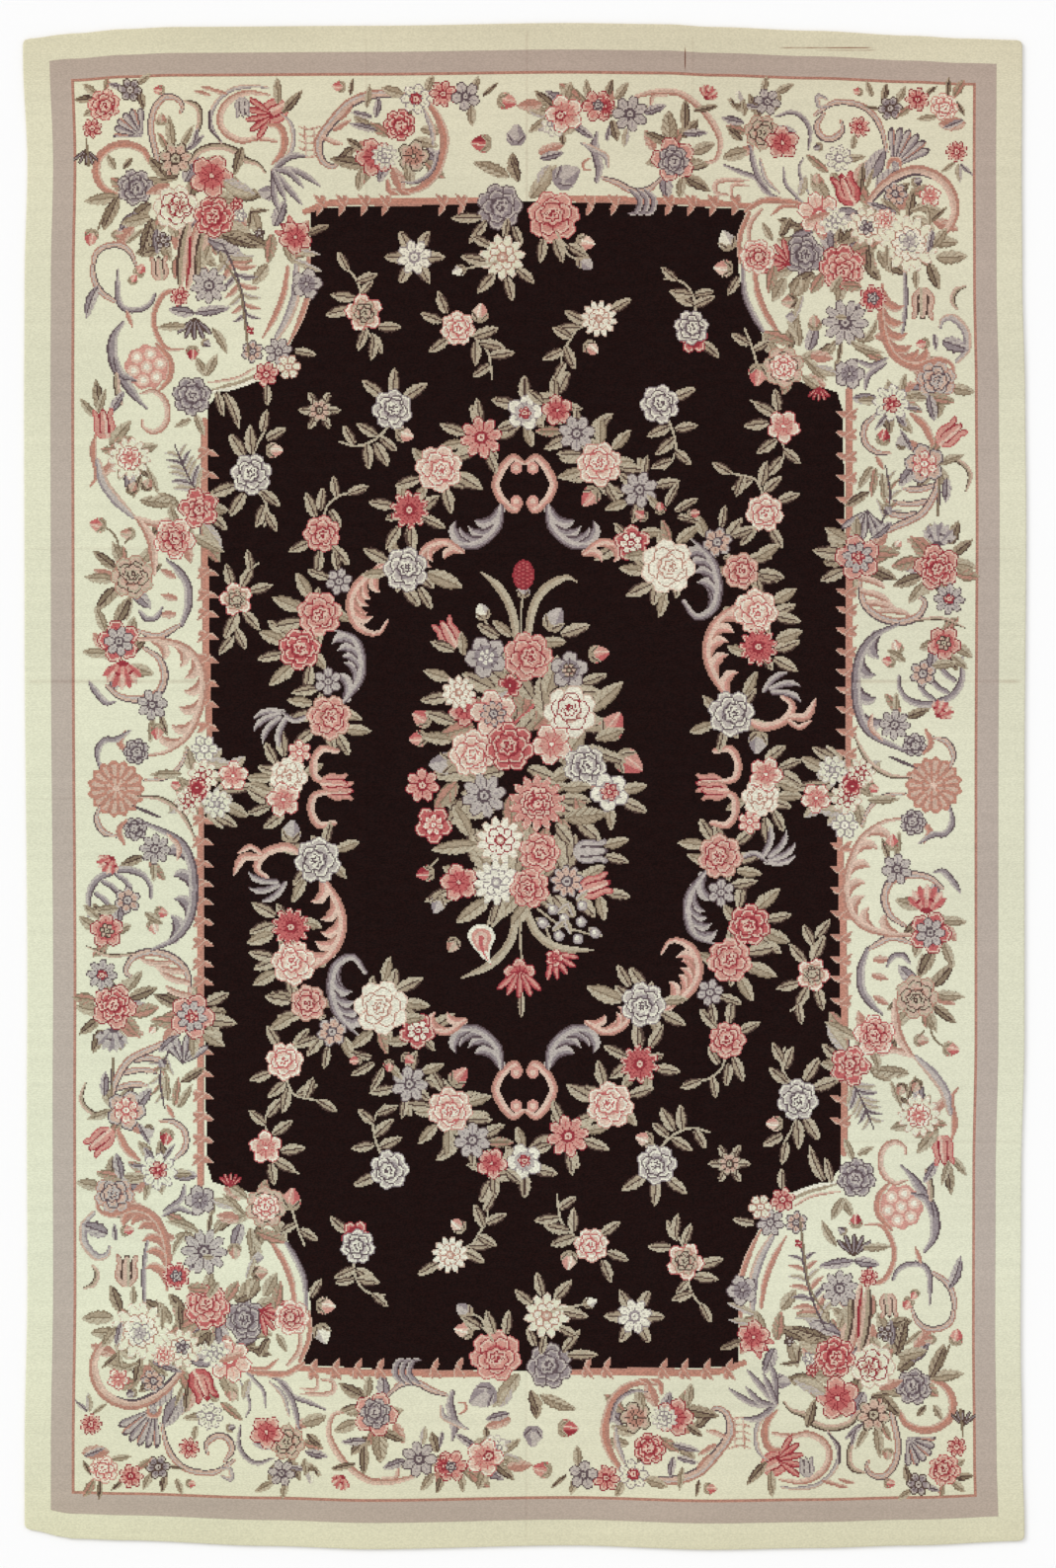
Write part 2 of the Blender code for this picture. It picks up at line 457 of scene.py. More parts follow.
def scroll(points, width, stripes, ends=(0.6, 0.3)):
    """A curved band. Its stripes run from its right side, -1, to its left side, 1."""
    path = spline([straight(x, y) for x, y in points])
    low, high = path.min(0), path.max(0)
    middle = (low + high) / 2
    s = Spot(*middle, max(high - low) / 2 + width, on_rug=False)
    keep_rows = np.abs(s.v[:, 0]) < (high[1] - low[1]) / 2 + width
    keep_cols = np.abs(s.u[0]) < (high[0] - low[0]) / 2 + width
    here = np.ix_(keep_rows, keep_cols)
    u = s.u[0][keep_cols][None, :] + middle[0]
    v = s.v[:, 0][keep_rows][:, None] + middle[1]
    far = np.full((v.shape[0], u.shape[1]), 1e9)
    near = np.zeros(far.shape, int)
    for number, (px, py) in enumerate(path):
        gap = (u - px) ** 2 + (v - py) ** 2
        closer = gap < far
        far[closer] = gap[closer]
        near[closer] = number
    way = np.gradient(path, axis=0)
    way /= np.hypot(way[:, 0], way[:, 1])[:, None] + 1e-9
    cross = way[near, 0] * (v - path[near, 1]) - way[near, 1] * (u - path[near, 0])
    t = near / (len(path) - 1)
    half = width / 2 * np.interp(t, (0, 0.25, 0.7, 1), (ends[0], 1, 1, ends[1]))
    q = np.sign(cross) * np.sqrt(far) / half
    last = -1.0
    for limit, yarn in stripes:
        full = np.zeros(s.r.shape, bool)
        full[here] = (q >= last) & (q < limit)
        s.paint(full, yarn)
        last = limit


STRIPES = {
    "pink": ((-0.3, "rose"), (0.35, "dusk"), (1, "blush")),
    "rose": ((-0.2, "rose"), (0.5, "ribbon"), (1, "dusk")),
    "mauve": ((-0.62, "plum"), (0.1, "dusk"), (0.55, "lilac"), (1, "rose")),
    "slate": ((-0.55, "plum"), (0.35, "slate"), (1, "lilac")),
    "pale": ((-0.5, "slate"), (0.4, "lilac"), (1, "dusk")),
    "tan": ((-0.5, "umber"), (0.2, "khaki"), (1, "dusk")),
    "stem": ((1, "olive"),),
    "line": ((1, "plum"),),
    "seam": ((1, "crimson"),),
    "blade": ((-0.2, "khaki"), (1, "sand")),
    "night": ((1, "sand"),),
    "field_pink": ((-0.5, "rose"), (0.0, "salmon"), (1, "blush")),
    "field_slate": ((-0.6, "plum"), (-0.05, "slate"), (1, "lilac")),
}


def band(points, width, way, ends=(0.6, 0.3), flip=False):
    stripes = STRIPES[way]
    if flip:
        limits = [-1] + [row[0] for row in stripes]
        stripes = [(-limits[number], stripes[number][1]) for number in range(len(stripes) - 1, -1, -1)]
    scroll(points, width, stripes, ends)


def claw(x, y, length, turn, curl, way, width=1.1):
    """A hooked leaf lobe of an acanthus: it starts along the rib and curls away from it."""
    middle = s_point(x, y, turn + curl * 0.15, length * 0.50, 0)
    bent = s_point(*middle, turn + curl * 0.65, length * 0.42, 0)
    tip = s_point(*bent, turn + curl * 1.2, length * 0.34, 0)
    band([(x, y), middle, bent, tip], width, way, ends=(0.8, 0.1), flip=curl > 0)


def acanthus(points, width, way, count, side, length=3.4, lean=20, curl=70, start=0.05, stop=0.8,
             ends=(0.5, 0.3)):
    """A curved rib with hooked lobes on one side: side 1 is its left."""
    path = spline(points)
    for number in range(count):
        t = start + (stop - start) * number / max(count - 1, 1)
        at = int(t * (len(path) - 2))
        x, y = path[at]
        dx, dy = path[at + 1] - path[at]
        turn = math.degrees(math.atan2(dy, dx)) + side * lean
        claw(x, y, length * 1.12, turn, side * curl, way, width)
    band(points, width * 0.8, way, ends, flip=side < 0)


def garland(points, ways, pairs=6, length=3.6, spread=62):
    """A thin hanging stem with pairs of drooping leaves, which shrink towards its end."""
    path = spline(points)
    for number in range(pairs):
        at = int((0.12 + 0.80 * number / pairs) * (len(path) - 2))
        dx, dy = path[at + 1] - path[at]
        turn = math.degrees(math.atan2(dy, dx))
        size = length * (1 - 0.45 * number / pairs)
        for side in (-1, 1):
            leaf(*path[at], size, turn + spread * side, ways[number % len(ways)], 0.17, -0.09 * side)
    band(points, 0.4, "line", ends=(1, 0.6))


def stalk(points, way="stem", width=0.42):
    band(points, width, way, ends=(1, 0.8))


FLOWERS = {"rose": rose, "daisy": daisy, "bold": bold, "azalea": azalea, "mum": mum, "tulip": tulip,
           "bud": bud, "bell": bell, "carnation": carnation, "star": star, "rosette": rosette,
           "berries": berries, "raspberry": raspberry, "paisley": paisley}
LEAVES = {"leaf": leaf, "veined": veined}


def work(rows):
    """Works a table. Each row: kind, x, y, radius or length, turn in degrees, colourway."""
    for kind, x, y, size, turn, way, *more in rows:
        if kind in FLOWERS:
            FLOWERS[kind](x, y, size, turn, way, *more)
        else:
            LEAVES[kind](x, y, size, turn, way, *more)


# Widths of the plain borders, in centimetres
CREAM_BAND = 4.7
MAUVE_BAND = 3.75
ROSE_LINE = 0.45


def work_plain_borders():
    """The mauve band and its rose line. They run with the weave, so they are straight here."""
    inside = np.minimum(WIDTH * 50 - np.abs(column_x)[None, :], LENGTH * 50 - np.abs(row_y)[:, None])
    inner = CREAM_BAND + MAUVE_BAND
    chart[(inside > CREAM_BAND) & (inside <= inner)] = YARN_INDEX["mauve"]
    chart[(inside > inner) & (inside <= inner + ROSE_LINE)] = YARN_INDEX["rose"]


# The upper half of the dark field's edge, from the middle of its right side over the top to the
# middle of its left side
FIELD_EDGE = (
    (57.6, 0), (57.8, 35), (57.2, 68), (56.2, 71.2), (51.5, 72.6), (48.5, 73.2), (46.4, 78.0),
    (43.6, 80.2), (41.0, 84.5), (39.2, 89.0), (38.4, 94.0), (38.6, 100.0), (40.0, 104.0),
    (20.0, 105.0), (0, 105.2), (-20.0, 104.8), (-38.6, 104.2), (-38.4, 96.0), (-38.8, 88.6),
    (-40.4, 83.4), (-42.2, 79.5), (-43.6, 76.0), (-46.0, 73.6), (-49.4, 72.6), (-54.8, 71.2),
    (-57.0, 68.5), (-57.4, 36), (-57.0, 0),
)


def inside_outline(points, x, y):
    """Which places lie inside a closed outline, by crossings counted along X."""
    inside = np.zeros(np.broadcast(x, y).shape, bool)
    for (x0, y0), (x1, y1) in zip(points, points[1:] + points[:1]):
        if y0 == y1:
            continue
        crosses = (y0 > y) != (y1 > y)
        inside ^= crosses & (x < (x1 - x0) * (y - y0) / (y1 - y0) + x0)
    return inside


def work_field():
    outline = list(FIELD_EDGE) + [(-x, -y) for x, y in FIELD_EDGE]
    mask = inside_outline(outline, column_x[None, :], row_y[:, None])
    chart[mask] = YARN_INDEX["black"]


def thorn(x, y, turn, inward=2.3, outward=1.5):
    """One small leaf of the ribbon: a long tip over the field and a short one over the ivory."""
    band([s_point(x, y, turn, 0.8, -0.7), s_point(x, y, turn, -0.6, -0.3),
          s_point(x, y, turn, -inward, 0.4)], 1.15, "rose", ends=(1, 0.15))
    band([s_point(x, y, turn, -0.4, -0.6), s_point(x, y, turn, 0.6, 0.2),
          s_point(x, y, turn, outward, 0.9)], 0.8, "rose", ends=(1, 0.15))


# Ribbon round the field: places of its little leaves along each side, in centimetres
TOP_THORNS = (-37.0, -33.0, -29.0, -25.2, -15.0, -11.5, 11.6, 15.9, 25.8, 29.8, 33.8, 37.8)
RIGHT_THORNS = (67.2, 63.6, 59.6, 55.8, 51.8, 47.8, 35.2, 32.0, 28.2, 24.4, 20.8, 17.6, 14.0, 10.0, 6.2)
LEFT_THORNS = (60.0, 56.0, 52.2, 38.4, 34.4, 31.0, 27.0, 22.8, 18.6, 14.8, 10.6)


def work_ribbon():
    """The rose-tan ribbon that edges the dark field, with its leaves."""
    for points in ([(-39.5, 103.6), (-34, 105.2), (-20, 105.3), (-6, 105.8)],
                   [(8, 105.9), (20, 105.6), (32, 105.2), (41, 104.6)],
                   [(58.4, 71.5), (58.4, 52), (58.4, 30), (58.3, 4)],
                   [(-57.6, 66), (-57.6, 48), (-57.3, 25), (-56.6, 6)]):
        scroll(points, 1.3, ((-0.55, "rose"), (1, "ribbon")), ends=(0.8, 0.8))
    for x in TOP_THORNS:
        thorn(x, 105.2, 90)
    for y in RIGHT_THORNS:
        thorn(58.4, y, 0)
    for y in LEFT_THORNS:
        thorn(-57.4, y, 180)


def work_top_left_scrolls():
    """The scrollwork of the upper left corner, with its shell and its berry boss."""
    fan(-68.8, 117.0, 5.6, 84, 186, 6, "slate")
    band([(-66.0, 112.6), (-67.2, 118.1), (-66.7, 121.9), (-64.8, 124.2), (-62.8, 124.0),
          (-61.6, 122.7), (-61.9, 121.4)], 1.3, "mauve", ends=(0.8, 0.5), flip=True)
    band([(-61.2, 123.6), (-59.0, 122.6), (-58.4, 120.4), (-59.0, 117.6)], 1.1, "tan", ends=(0.4, 0.6),
         flip=True)
    band([(-73.4, 106.7), (-75.9, 108.0), (-77.1, 110.6), (-76.5, 113.4), (-74.4, 115.2), (-71.5, 115.7),
          (-68.8, 114.7), (-67.4, 112.6)], 1.5, "rose", ends=(0.5, 0.7), flip=True)
    band([(-60.4, 112.6), (-58.2, 114.7), (-55.0, 115.4), (-52.2, 114.6), (-50.4, 113.0), (-48.0, 112.2),
          (-46.6, 110.6)], 1.3, "tan", ends=(0.7, 0.3), flip=True)
    band([(-46.2, 125.9), (-49.0, 126.2), (-53.0, 125.4), (-56.0, 122.4), (-56.4, 119.0), (-54.6, 116.0)],
         0.8, "pale", ends=(0.5, 0.6), flip=True)
    band([(-46.0, 124.6), (-50.0, 125.0), (-53.4, 123.4), (-54.9, 120.4), (-53.8, 117.8), (-51.0, 116.4),
          (-48.0, 116.8), (-44.8, 116.3)], 1.2, "pink", ends=(0.4, 0.5))
    band([(-56.7, 121.8), (-56.6, 118.6), (-54.4, 116.0)], 0.45, "line")
    band([(-77.8, 93.4), (-77.0, 96.2), (-74.8, 97.5), (-72.4, 97.4), (-70.8, 96.0), (-70.0, 94.0)], 1.2,
         "mauve", ends=(0.7, 0.5))
    band([(-77.8, 93.8), (-77.3, 90.9), (-75.8, 88.8), (-73.6, 87.4)], 1.2, "mauve", ends=(0.7, 0.6),
         flip=True)
    leaf(-76.7, 90.2, 6.2, 250, "grey", wide=0.20, bend=-0.06)
    band([(-73.2, 93.2), (-73.2, 88.3), (-71.9, 86.1), (-69.2, 86.0), (-67.4, 87.0), (-66.6, 88.6)], 1.1,
         "slate", ends=(0.3, 0.6))
    band([(-71.6, 85.6), (-70.6, 82.9)], 0.8, "rose")
    band([(-61.0, 89.3), (-64.4, 89.1), (-66.1, 86.9), (-66.8, 84.2), (-66.1, 81.2), (-64.4, 79.0),
          (-61.4, 78.8)], 1.0, "rose", ends=(0.6, 0.3), flip=True)
    berries(-68.0, 75.6, 4.0, 15, "pink")
    band([(-66.4, 79.8), (-63.9, 76.9), (-64.0, 73.6), (-65.8, 71.4)], 1.2, "rose", ends=(0.4, 0.5),
         flip=True)
    band([(-72.2, 83.7), (-73.9, 81.2), (-74.2, 78.0), (-73.5, 75.4), (-71.9, 72.9), (-69.7, 69.9),
          (-67.8, 68.0)], 1.9, "slate", ends=(0.3, 0.15))
    band([(-73.6, 77.0), (-72.6, 74.4), (-70.0, 73.2)], 1.3, "slate", ends=(0.7, 0.3))
    band([(-73.5, 74.4), (-73.3, 71.6), (-72.5, 68.9)], 1.2, "tan", ends=(0.6, 0.5))
    band([(-69.0, 70.8), (-66.8, 71.3), (-64.8, 69.7), (-64.2, 67.3), (-64.9, 65.0), (-66.8, 63.9),
          (-68.6, 64.8), (-68.8, 66.0)], 1.1, "pink", ends=(0.4, 0.4), flip=True)
    for x, y in ((-55.5, 125.4), (-56.6, 124.6), (-53.6, 124.8)):
        leaf(x, y, 3.0, 165, "pink", wide=0.16)


TOP_LEFT_CORNER = (
    ("leaf", -77.0, 124.6, 3.2, 140, "khaki"),
    ("leaf", -77.6, 124.0, 3.4, 185, "dark"),
    ("leaf", -75.6, 125.4, 2.6, 75, "tan"),
    ("leaf", -77.4, 122.2, 2.6, 215, "khaki"),
    ("rose", -75.7, 122.8, 2.8, 20, "coral"),
    ("leaf", -72.4, 125.8, 2.6, 160, "grey"),
    ("leaf", -69.8, 126.6, 3.0, 35, "khaki"),
    ("leaf", -69.4, 125.4, 3.4, 285, "dark"),
    ("daisy", -71.0, 125.5, 2.2, 0, "deep", 6, 0.36),
    ("bud", -65.8, 125.5, 1.0, 180, "coral"),
    ("daisy", -77.8, 118.6, 1.9, 0, "coral", 7, 0.34),
    ("bell", -78.9, 113.6, 1.7, 268, "deep"),
    ("bud", -65.4, 120.2, 1.1, 85, "tan"),
    ("leaf", -63.4, 114.8, 6.2, 96, "khaki", 0.18),
    ("leaf", -62.0, 115.2, 4.6, 58, "khaki", 0.18),
    ("leaf", -64.0, 114.4, 4.0, 120, "tan", 0.20),
    ("leaf", -61.0, 114.6, 4.4, 40, "grey", 0.17),
    ("leaf", -59.6, 115.8, 3.0, 75, "grey", 0.23),
    ("leaf", -64.4, 109.6, 5.0, 130, "dark", 0.26),
    ("leaf", -62.4, 109.8, 3.4, 190, "dark", 0.23),
    ("daisy", -62.8, 113.1, 3.2, 10, "tan", 7, 0.34),
    ("leaf", -50.8, 115.3, 5.4, 254, "dark", 0.22),
    ("leaf", -73.6, 111.2, 3.2, 120, "khaki"),
    ("leaf", -72.2, 111.4, 2.6, 50, "dark"),
    ("leaf", -72.9, 106.2, 6.4, 186, "khaki", 0.22),
    ("leaf", -73.2, 106.2, 6.6, 246, "dark", 0.22),
    ("rose", -70.1, 108.0, 3.2, 40, "steel"),
    ("bud", -78.0, 99.0, 1.5, 262, "coral"),
    ("bud", -73.3, 99.5, 1.0, 10, "tan"),
    ("leaf", -67.4, 102.6, 5.4, 193, "khaki", 0.26),
    ("veined", -67.0, 102.4, 7.2, 254, "dark", 0.20),
    ("leaf", -71.6, 98.0, 4.0, 40, "khaki", 0.18),
    ("leaf", -66.2, 100.4, 4.4, 272, "grey", 0.26),
    ("daisy", -65.0, 98.4, 1.6, 0, "deep", 5, 0.4),
    ("azalea", -56.4, 110.0, 3.9, 80, "coral"),
    ("leaf", -54.2, 109.2, 6.4, -24, "pale", 0.28, -0.05),
    ("leaf", -63.8, 108.4, 4.6, 200, "pink", 0.26),
    ("rose", -62.8, 104.3, 3.9, 70, "peony"),
    ("azalea", -62.0, 104.5, 2.0, 10, "peony"),
    ("rose", -55.9, 102.6, 3.6, 200, "red"),
    ("daisy", -51.8, 105.0, 1.2, 0, "coral", 5, 0.4),
    ("daisy", -51.2, 102.9, 1.3, 20, "shell", 5, 0.4),
    ("leaf", -49.4, 103.6, 3.4, 5, "dark", 0.15),
    ("leaf", -49.2, 103.6, 3.2, 262, "dark", 0.18),
    ("daisy", -47.7, 99.7, 1.0, 30, "deep", 5, 0.4),
    ("bud", -46.4, 107.0, 1.5, 170, "slate", "grey"),
    ("veined", -54.6, 99.4, 7.0, -18, "dark", 0.19),
    ("tulip", -45.6, 121.4, 3.2, 205, "coral"),
    ("bell", -47.4, 120.6, 2.8, 190, "coral"),
    ("leaf", -44.4, 123.0, 4.8, 92, "khaki", 0.22),
    ("leaf", -43.6, 121.4, 5.4, 48, "dark", 0.20),
    ("tulip", -50.8, 122.4, 1.9, 275, "slate"),
    ("tulip", -65.7, 93.4, 2.3, 95, "tan"),
    ("bud", -69.2, 93.0, 1.2, 60, "coral"),
    ("bud", -70.4, 91.4, 1.0, 60, "coral"),
    ("daisy", -62.1, 88.3, 1.8, 0, "coral", 6, 0.3),
    ("daisy", -56.8, 90.3, 3.4, 12, "slate", 9, 0.28),
    ("leaf", -59.4, 85.4, 6.4, 8, "grey", 0.19),
    ("leaf", -59.4, 85.2, 4.8, 170, "grey", 0.26),
    ("bell", -59.4, 82.8, 2.3, 268, "deep"),
    ("leaf", -61.0, 83.0, 5.2, 183, "khaki", 0.19),
    ("bud", -59.8, 78.2, 1.3, 268, "red"),
    ("bud", -57.3, 79.9, 0.9, 330, "deep"),
    ("leaf", -56.2, 82.6, 5.4, 300, "khaki", 0.18, 0.05),
    ("daisy", -49.5, 82.2, 0.9, 0, "coral", 4, 0.3),
    ("leaf", -57.4, 74.0, 4.0, 118, "khaki", 0.26),
    ("leaf", -57.4, 74.0, 4.4, 62, "khaki", 0.26),
    ("rose", -59.9, 70.4, 3.4, 100, "steel"),
    ("leaf", -55.4, 71.2, 4.6, 285, "night", 0.22),
    ("leaf", -54.0, 71.0, 7.0, 292, "night", 0.17, 0.05),
    ("leaf", -60.0, 66.2, 3.4, 205, "khaki", 0.23),
    ("leaf", -59.2, 67.0, 4.0, 292, "khaki", 0.23),
)


def work_top_left_tassel():
    """The striped drop under the corner's red rose."""
    for x, tip, way in ((-61.8, -62.0, "tan"), (-60.0, -60.6, "pink"), (-58.6, -58.4, "tan")):
        band([(x + 1.2, 101.0), (x + 0.4, 97.0), (x, 93.0), (tip, 89.8)], 2.0, way, ends=(0.7, 0.3))
    band([(-60.2, 99.0), (-60.2, 95.0), (-60.9, 90.4)], 0.5, "seam")
    for number, (x, y) in enumerate(((-56.6, 97.6), (-58.4, 97.0), (-54.8, 96.4))):
        leaf(x, y, 4.6, 250 + 22 * number, "khaki", 0.23)
    garland([(-54.2, 97.6), (-52.0, 92.6), (-50.6, 87.6), (-49.8, 82.0)], ("pale", "pink", "grey", "pink"), 7, 4.6)


def work_left_corner_edge():
    """The ribbons and the flowers where the upper left corner meets the field."""
    band([(-38.8, 95.6), (-38.9, 89.0), (-40.6, 83.6), (-42.6, 79.6)], 1.1, "rose")
    band([(-42.6, 93.6), (-43.3, 89.0), (-45.0, 84.6), (-47.2, 80.8)], 1.1, "rose")
    band([(-41.0, 94.0), (-41.2, 88.6), (-42.8, 84.0), (-44.6, 81.0)], 1.7, "pale", ends=(0.6, 0.6))
    band([(-48.6, 75.4), (-52.0, 73.6), (-57.0, 72.8)], 0.5, "pink")
    scroll([(-46.8, 74.6), (-51.0, 72.6), (-56.8, 71.2)], 1.3, ((0, "khaki"), (1, "white")))


LEFT_EDGE_FLOWERS = (
    ("leaf", -45.4, 99.6, 5.4, 262, "tan", 0.26),
    ("leaf", -43.0, 99.0, 5.0, 285, "khaki", 0.26),
    ("leaf", -42.2, 96.6, 5.6, -8, "pale", 0.13),
    ("leaf", -42.0, 95.0, 6.0, -22, "pale", 0.13),
    ("leaf", -39.6, 99.4, 4.8, 22, "dark", 0.20),
    ("tulip", -41.6, 99.6, 3.0, 140, "coral"),
    ("azalea", -41.2, 99.0, 3.0, 20, "coral"),
    ("daisy", -44.3, 78.4, 2.6, 0, "slate", 7, 0.3),
    ("daisy", -49.0, 78.4, 2.1, 10, "mauve", 6, 0.3),
    ("leaf", -41.4, 78.6, 4.0, -12, "night", 0.26),
    ("azalea", -39.2, 90.6, 2.8, 0, "slate"),
    ("daisy", -42.5, 75.6, 2.3, 20, "cream", 6, 0.3),
    ("daisy", -46.5, 74.3, 2.3, 0, "coral", 6, 0.3),
    ("leaf", -46.4, 72.4, 3.8, 272, "night", 0.26),
)


def work_top_border_scrolls():
    """The wreath, the ladder and the plumes of the top border's left half."""
    band([(-46.2, 119.2), (-44.2, 118.9), (-43.3, 117.0), (-43.6, 114.4), (-45.4, 112.2)], 1.4, "rose",
         ends=(0.4, 0.3), flip=True)
    band([(-43.8, 121.2), (-42.0, 119.2), (-41.7, 115.8), (-43.2, 112.6), (-45.6, 111.0)], 0.9, "pale",
         ends=(0.4, 0.6), flip=True)
    for y in (118.7, 117.4, 116.2, 114.9, 113.7):
        band([(-40.6, y + 0.2), (-38.8, y - 0.3), (-36.8, y + 0.3)], 0.4, "pink")
    for x in (-39.6, -38.0):
        band([(x, 118.8), (x + 0.2, 116.0), (x + 0.1, 113.2)], 0.4, "pink")
    for tip, bend in (((-39.2, 113.6), 1), ((-36.8, 108.2), 1), ((-39.8, 107.9), 1), ((-40.0, 104.8), 0),
                      ((-44.2, 103.6), -1), ((-43.0, 105.6), 0)):
        middle = ((-45.4 + tip[0]) / 2 + 0.2 * bend, (111.2 + tip[1]) / 2 + 1.1 * bend)
        band([(-45.4, 111.2), middle, tip], 1.2, "slate", ends=(0.3, 0.25))
    band([(-17.4, 123.2), (-15.6, 120.6), (-14.4, 116.8), (-15.0, 113.0), (-16.4, 110.0), (-19.4, 107.6),
          (-23.8, 107.6)], 1.6, "rose", ends=(0.6, 0.3))
    band([(-18.0, 121.8), (-16.7, 118.6), (-16.4, 115.4)], 1.0, "pale", ends=(0.5, 0.3))
    band([(-15.4, 114.6), (-16.8, 110.8), (-19.6, 108.9), (-22.2, 109.0)], 0.8, "slate", ends=(0.5, 0.3),
         flip=True)
    band([(-21.4, 124.6), (-26.9, 124.7), (-31.4, 123.1), (-34.5, 119.9), (-36.9, 116.4), (-36.6, 113.2),
          (-34.8, 111.7), (-33.6, 112.4)], 1.8, "mauve", ends=(0.5, 0.5), flip=True)
    band([(-36.2, 117.0), (-34.6, 116.2), (-32.9, 115.8)], 0.9, "pink", ends=(0.6, 0.3))
    for x, y, turn in ((-33.4, 120.0, 50), (-34.6, 118.2, 30)):
        leaf(x, y, 4.0, turn, "pink", 0.17)
    for x in (-24.6, -22.6):
        band([(x, 109.2), (x + 0.3, 107.4), (x + 2.0, 106.6)], 1.0, "rose", ends=(0.6, 0.3))


TOP_BORDER = (
    ("bud", -33.4, 126.1, 1.2, 178, "coral"),
    ("leaf", -31.4, 124.6, 3.0, 80, "dark", 0.19),
    ("leaf", -28.4, 122.4, 4.2, 82, "khaki", 0.18),
    ("leaf", -26.8, 120.6, 3.8, 80, "grey", 0.23),
    ("leaf", -27.4, 120.6, 4.0, 166, "grey", 0.19),
    ("leaf", -26.6, 118.2, 5.0, 166, "grey", 0.17),
    ("leaf", -29.2, 114.8, 3.4, 145, "dark", 0.26),
    ("leaf", -28.6, 111.8, 6.6, 168, "dark", 0.22),
    ("leaf", -29.4, 111.2, 4.0, 262, "khaki", 0.26),
    ("leaf", -21.8, 124.6, 4.2, 162, "khaki", 0.31),
    ("leaf", -17.8, 125.2, 3.2, 66, "khaki", 0.31),
    ("azalea", -27.0, 113.4, 3.4, 100, "coral"),
    ("mum", -25.2, 113.6, 2.3, 0, "shell", 11),
    ("azalea", -20.0, 113.6, 2.9, 60, "tan"),
    ("leaf", -21.4, 112.2, 2.4, 280, "khaki", 0.32),
    ("rose", -22.5, 119.2, 2.8, 0, "red"),
    ("daisy", -19.6, 123.9, 2.8, 12, "shell", 7, 0.40),
    ("daisy", -19.6, 123.9, 1.2, 12, "red", 7, 0.60),
    ("bold", -14.7, 124.8, 2.5, 0, "coral"),
    ("leaf", -9.6, 124.6, 3.6, 68, "khaki", 0.28),
    ("leaf", -7.6, 124.4, 3.8, 40, "dark", 0.15),
    ("leaf", -9.6, 122.8, 3.8, 272, "khaki", 0.28),
    ("daisy", -10.6, 124.4, 2.7, 0, "slate", 5, 0.24),
    ("bud", -3.2, 123.5, 1.7, -12, "coral"),
    ("bud", -7.8, 115.9, 1.8, 176, "red"),
    ("veined", -2.8, 109.8, 7.0, 158, "khaki", 0.20, -0.04),
    ("leaf", -2.0, 109.8, 4.4, 92, "dark", 0.31),
    ("leaf", -1.0, 109.0, 4.8, 112, "dark", 0.26),
    ("bud", -1.5, 117.4, 1.9, 86, "slate", "grey"),
    ("leaf", 1.0, 106.0, 7.6, 52, "khaki", 0.23),
    ("leaf", 2.6, 108.6, 4.0, 60, "pale", 0.36),
    ("bud", 7.6, 110.0, 2.5, 30, "slate", "grey"),
    ("leaf", 2.4, 114.2, 5.0, 18, "pink", 0.23),
    ("leaf", 2.8, 113.2, 4.4, 14, "grey", 0.23),
    ("rose", -4.5, 104.5, 4.0, 30, "steel"),
    ("leaf", -7.6, 102.6, 5.6, 182, "night", 0.22),
    ("leaf", -6.8, 102.0, 5.2, 232, "night", 0.22),
    ("leaf", -2.0, 101.0, 4.0, 292, "night", 0.26),
    ("rose", 5.2, 102.6, 4.5, 160, "coral"),
    ("mum", -4.0, 95.4, 4.1, 10, "cream"),
    ("leaf", 6.0, 121.6, 5.6, 138, "dark", 0.22),
    ("leaf", 6.4, 122.4, 5.0, 66, "khaki", 0.28),
    ("leaf", 4.2, 120.6, 3.8, 160, "pale", 0.20),
    ("leaf", 4.0, 120.4, 4.2, 218, "khaki", 0.23),
    ("leaf", 8.4, 119.6, 5.0, -35, "grey", 0.19),
    ("leaf", 6.6, 118.2, 2.8, 280, "dark", 0.28),
    ("mum", 5.4, 119.4, 2.4, 0, "shell", 9),
    ("azalea", 7.2, 121.2, 3.4, 20, "pink"),
    ("daisy", 6.4, 120.9, 1.1, 0, "red", 5, 0.8),
    ("leaf", 11.4, 124.0, 3.4, 95, "khaki", 0.26),
    ("leaf", 14.8, 124.4, 3.2, 70, "dark", 0.28),
    ("leaf", 16.4, 123.8, 3.8, 54, "khaki", 0.26),
    ("leaf", 21.4, 121.4, 4.4, 18, "grey", 0.23),
    ("leaf", 18.4, 118.6, 3.4, 262, "pale", 0.26),
    ("leaf", 15.4, 119.2, 3.2, 258, "grey", 0.18),
    ("daisy", 13.2, 122.6, 3.0, 0, "coral", 6, 0.26),
    ("bold", 14.4, 122.6, 2.0, 0, "red"),
    ("daisy", 13.2, 122.7, 1.1, 0, "slate", 5, 0.6),
    ("daisy", 19.0, 121.2, 3.3, 0, "slate", 7, 0.24),
    ("veined", 26.2, 115.8, 6.0, 93, "khaki", 0.31),
    ("leaf", 26.0, 115.8, 5.0, 155, "dark", 0.22),
    ("leaf", 28.8, 118.6, 5.2, 88, "dark", 0.23),
    ("leaf", 28.6, 117.6, 4.4, 4, "grey", 0.20),
    ("leaf", 29.6, 111.4, 3.4, 20, "khaki", 0.20),
    ("leaf", 28.4, 109.8, 4.0, 262, "khaki", 0.26),
    ("leaf", 29.0, 109.8, 5.0, -28, "dark", 0.26),
    ("azalea", 26.8, 113.0, 4.0, 36, "coral"),
    ("rose", 26.8, 112.8, 2.7, 0, "steel"),
    ("leaf", 30.4, 121.6, 4.6, 14, "dark", 0.17),
    ("carnation", 33.0, 124.8, 1.5, 60, "coral"),
    ("bud", 38.3, 123.8, 1.5, 88, "shell", "dark"),
)


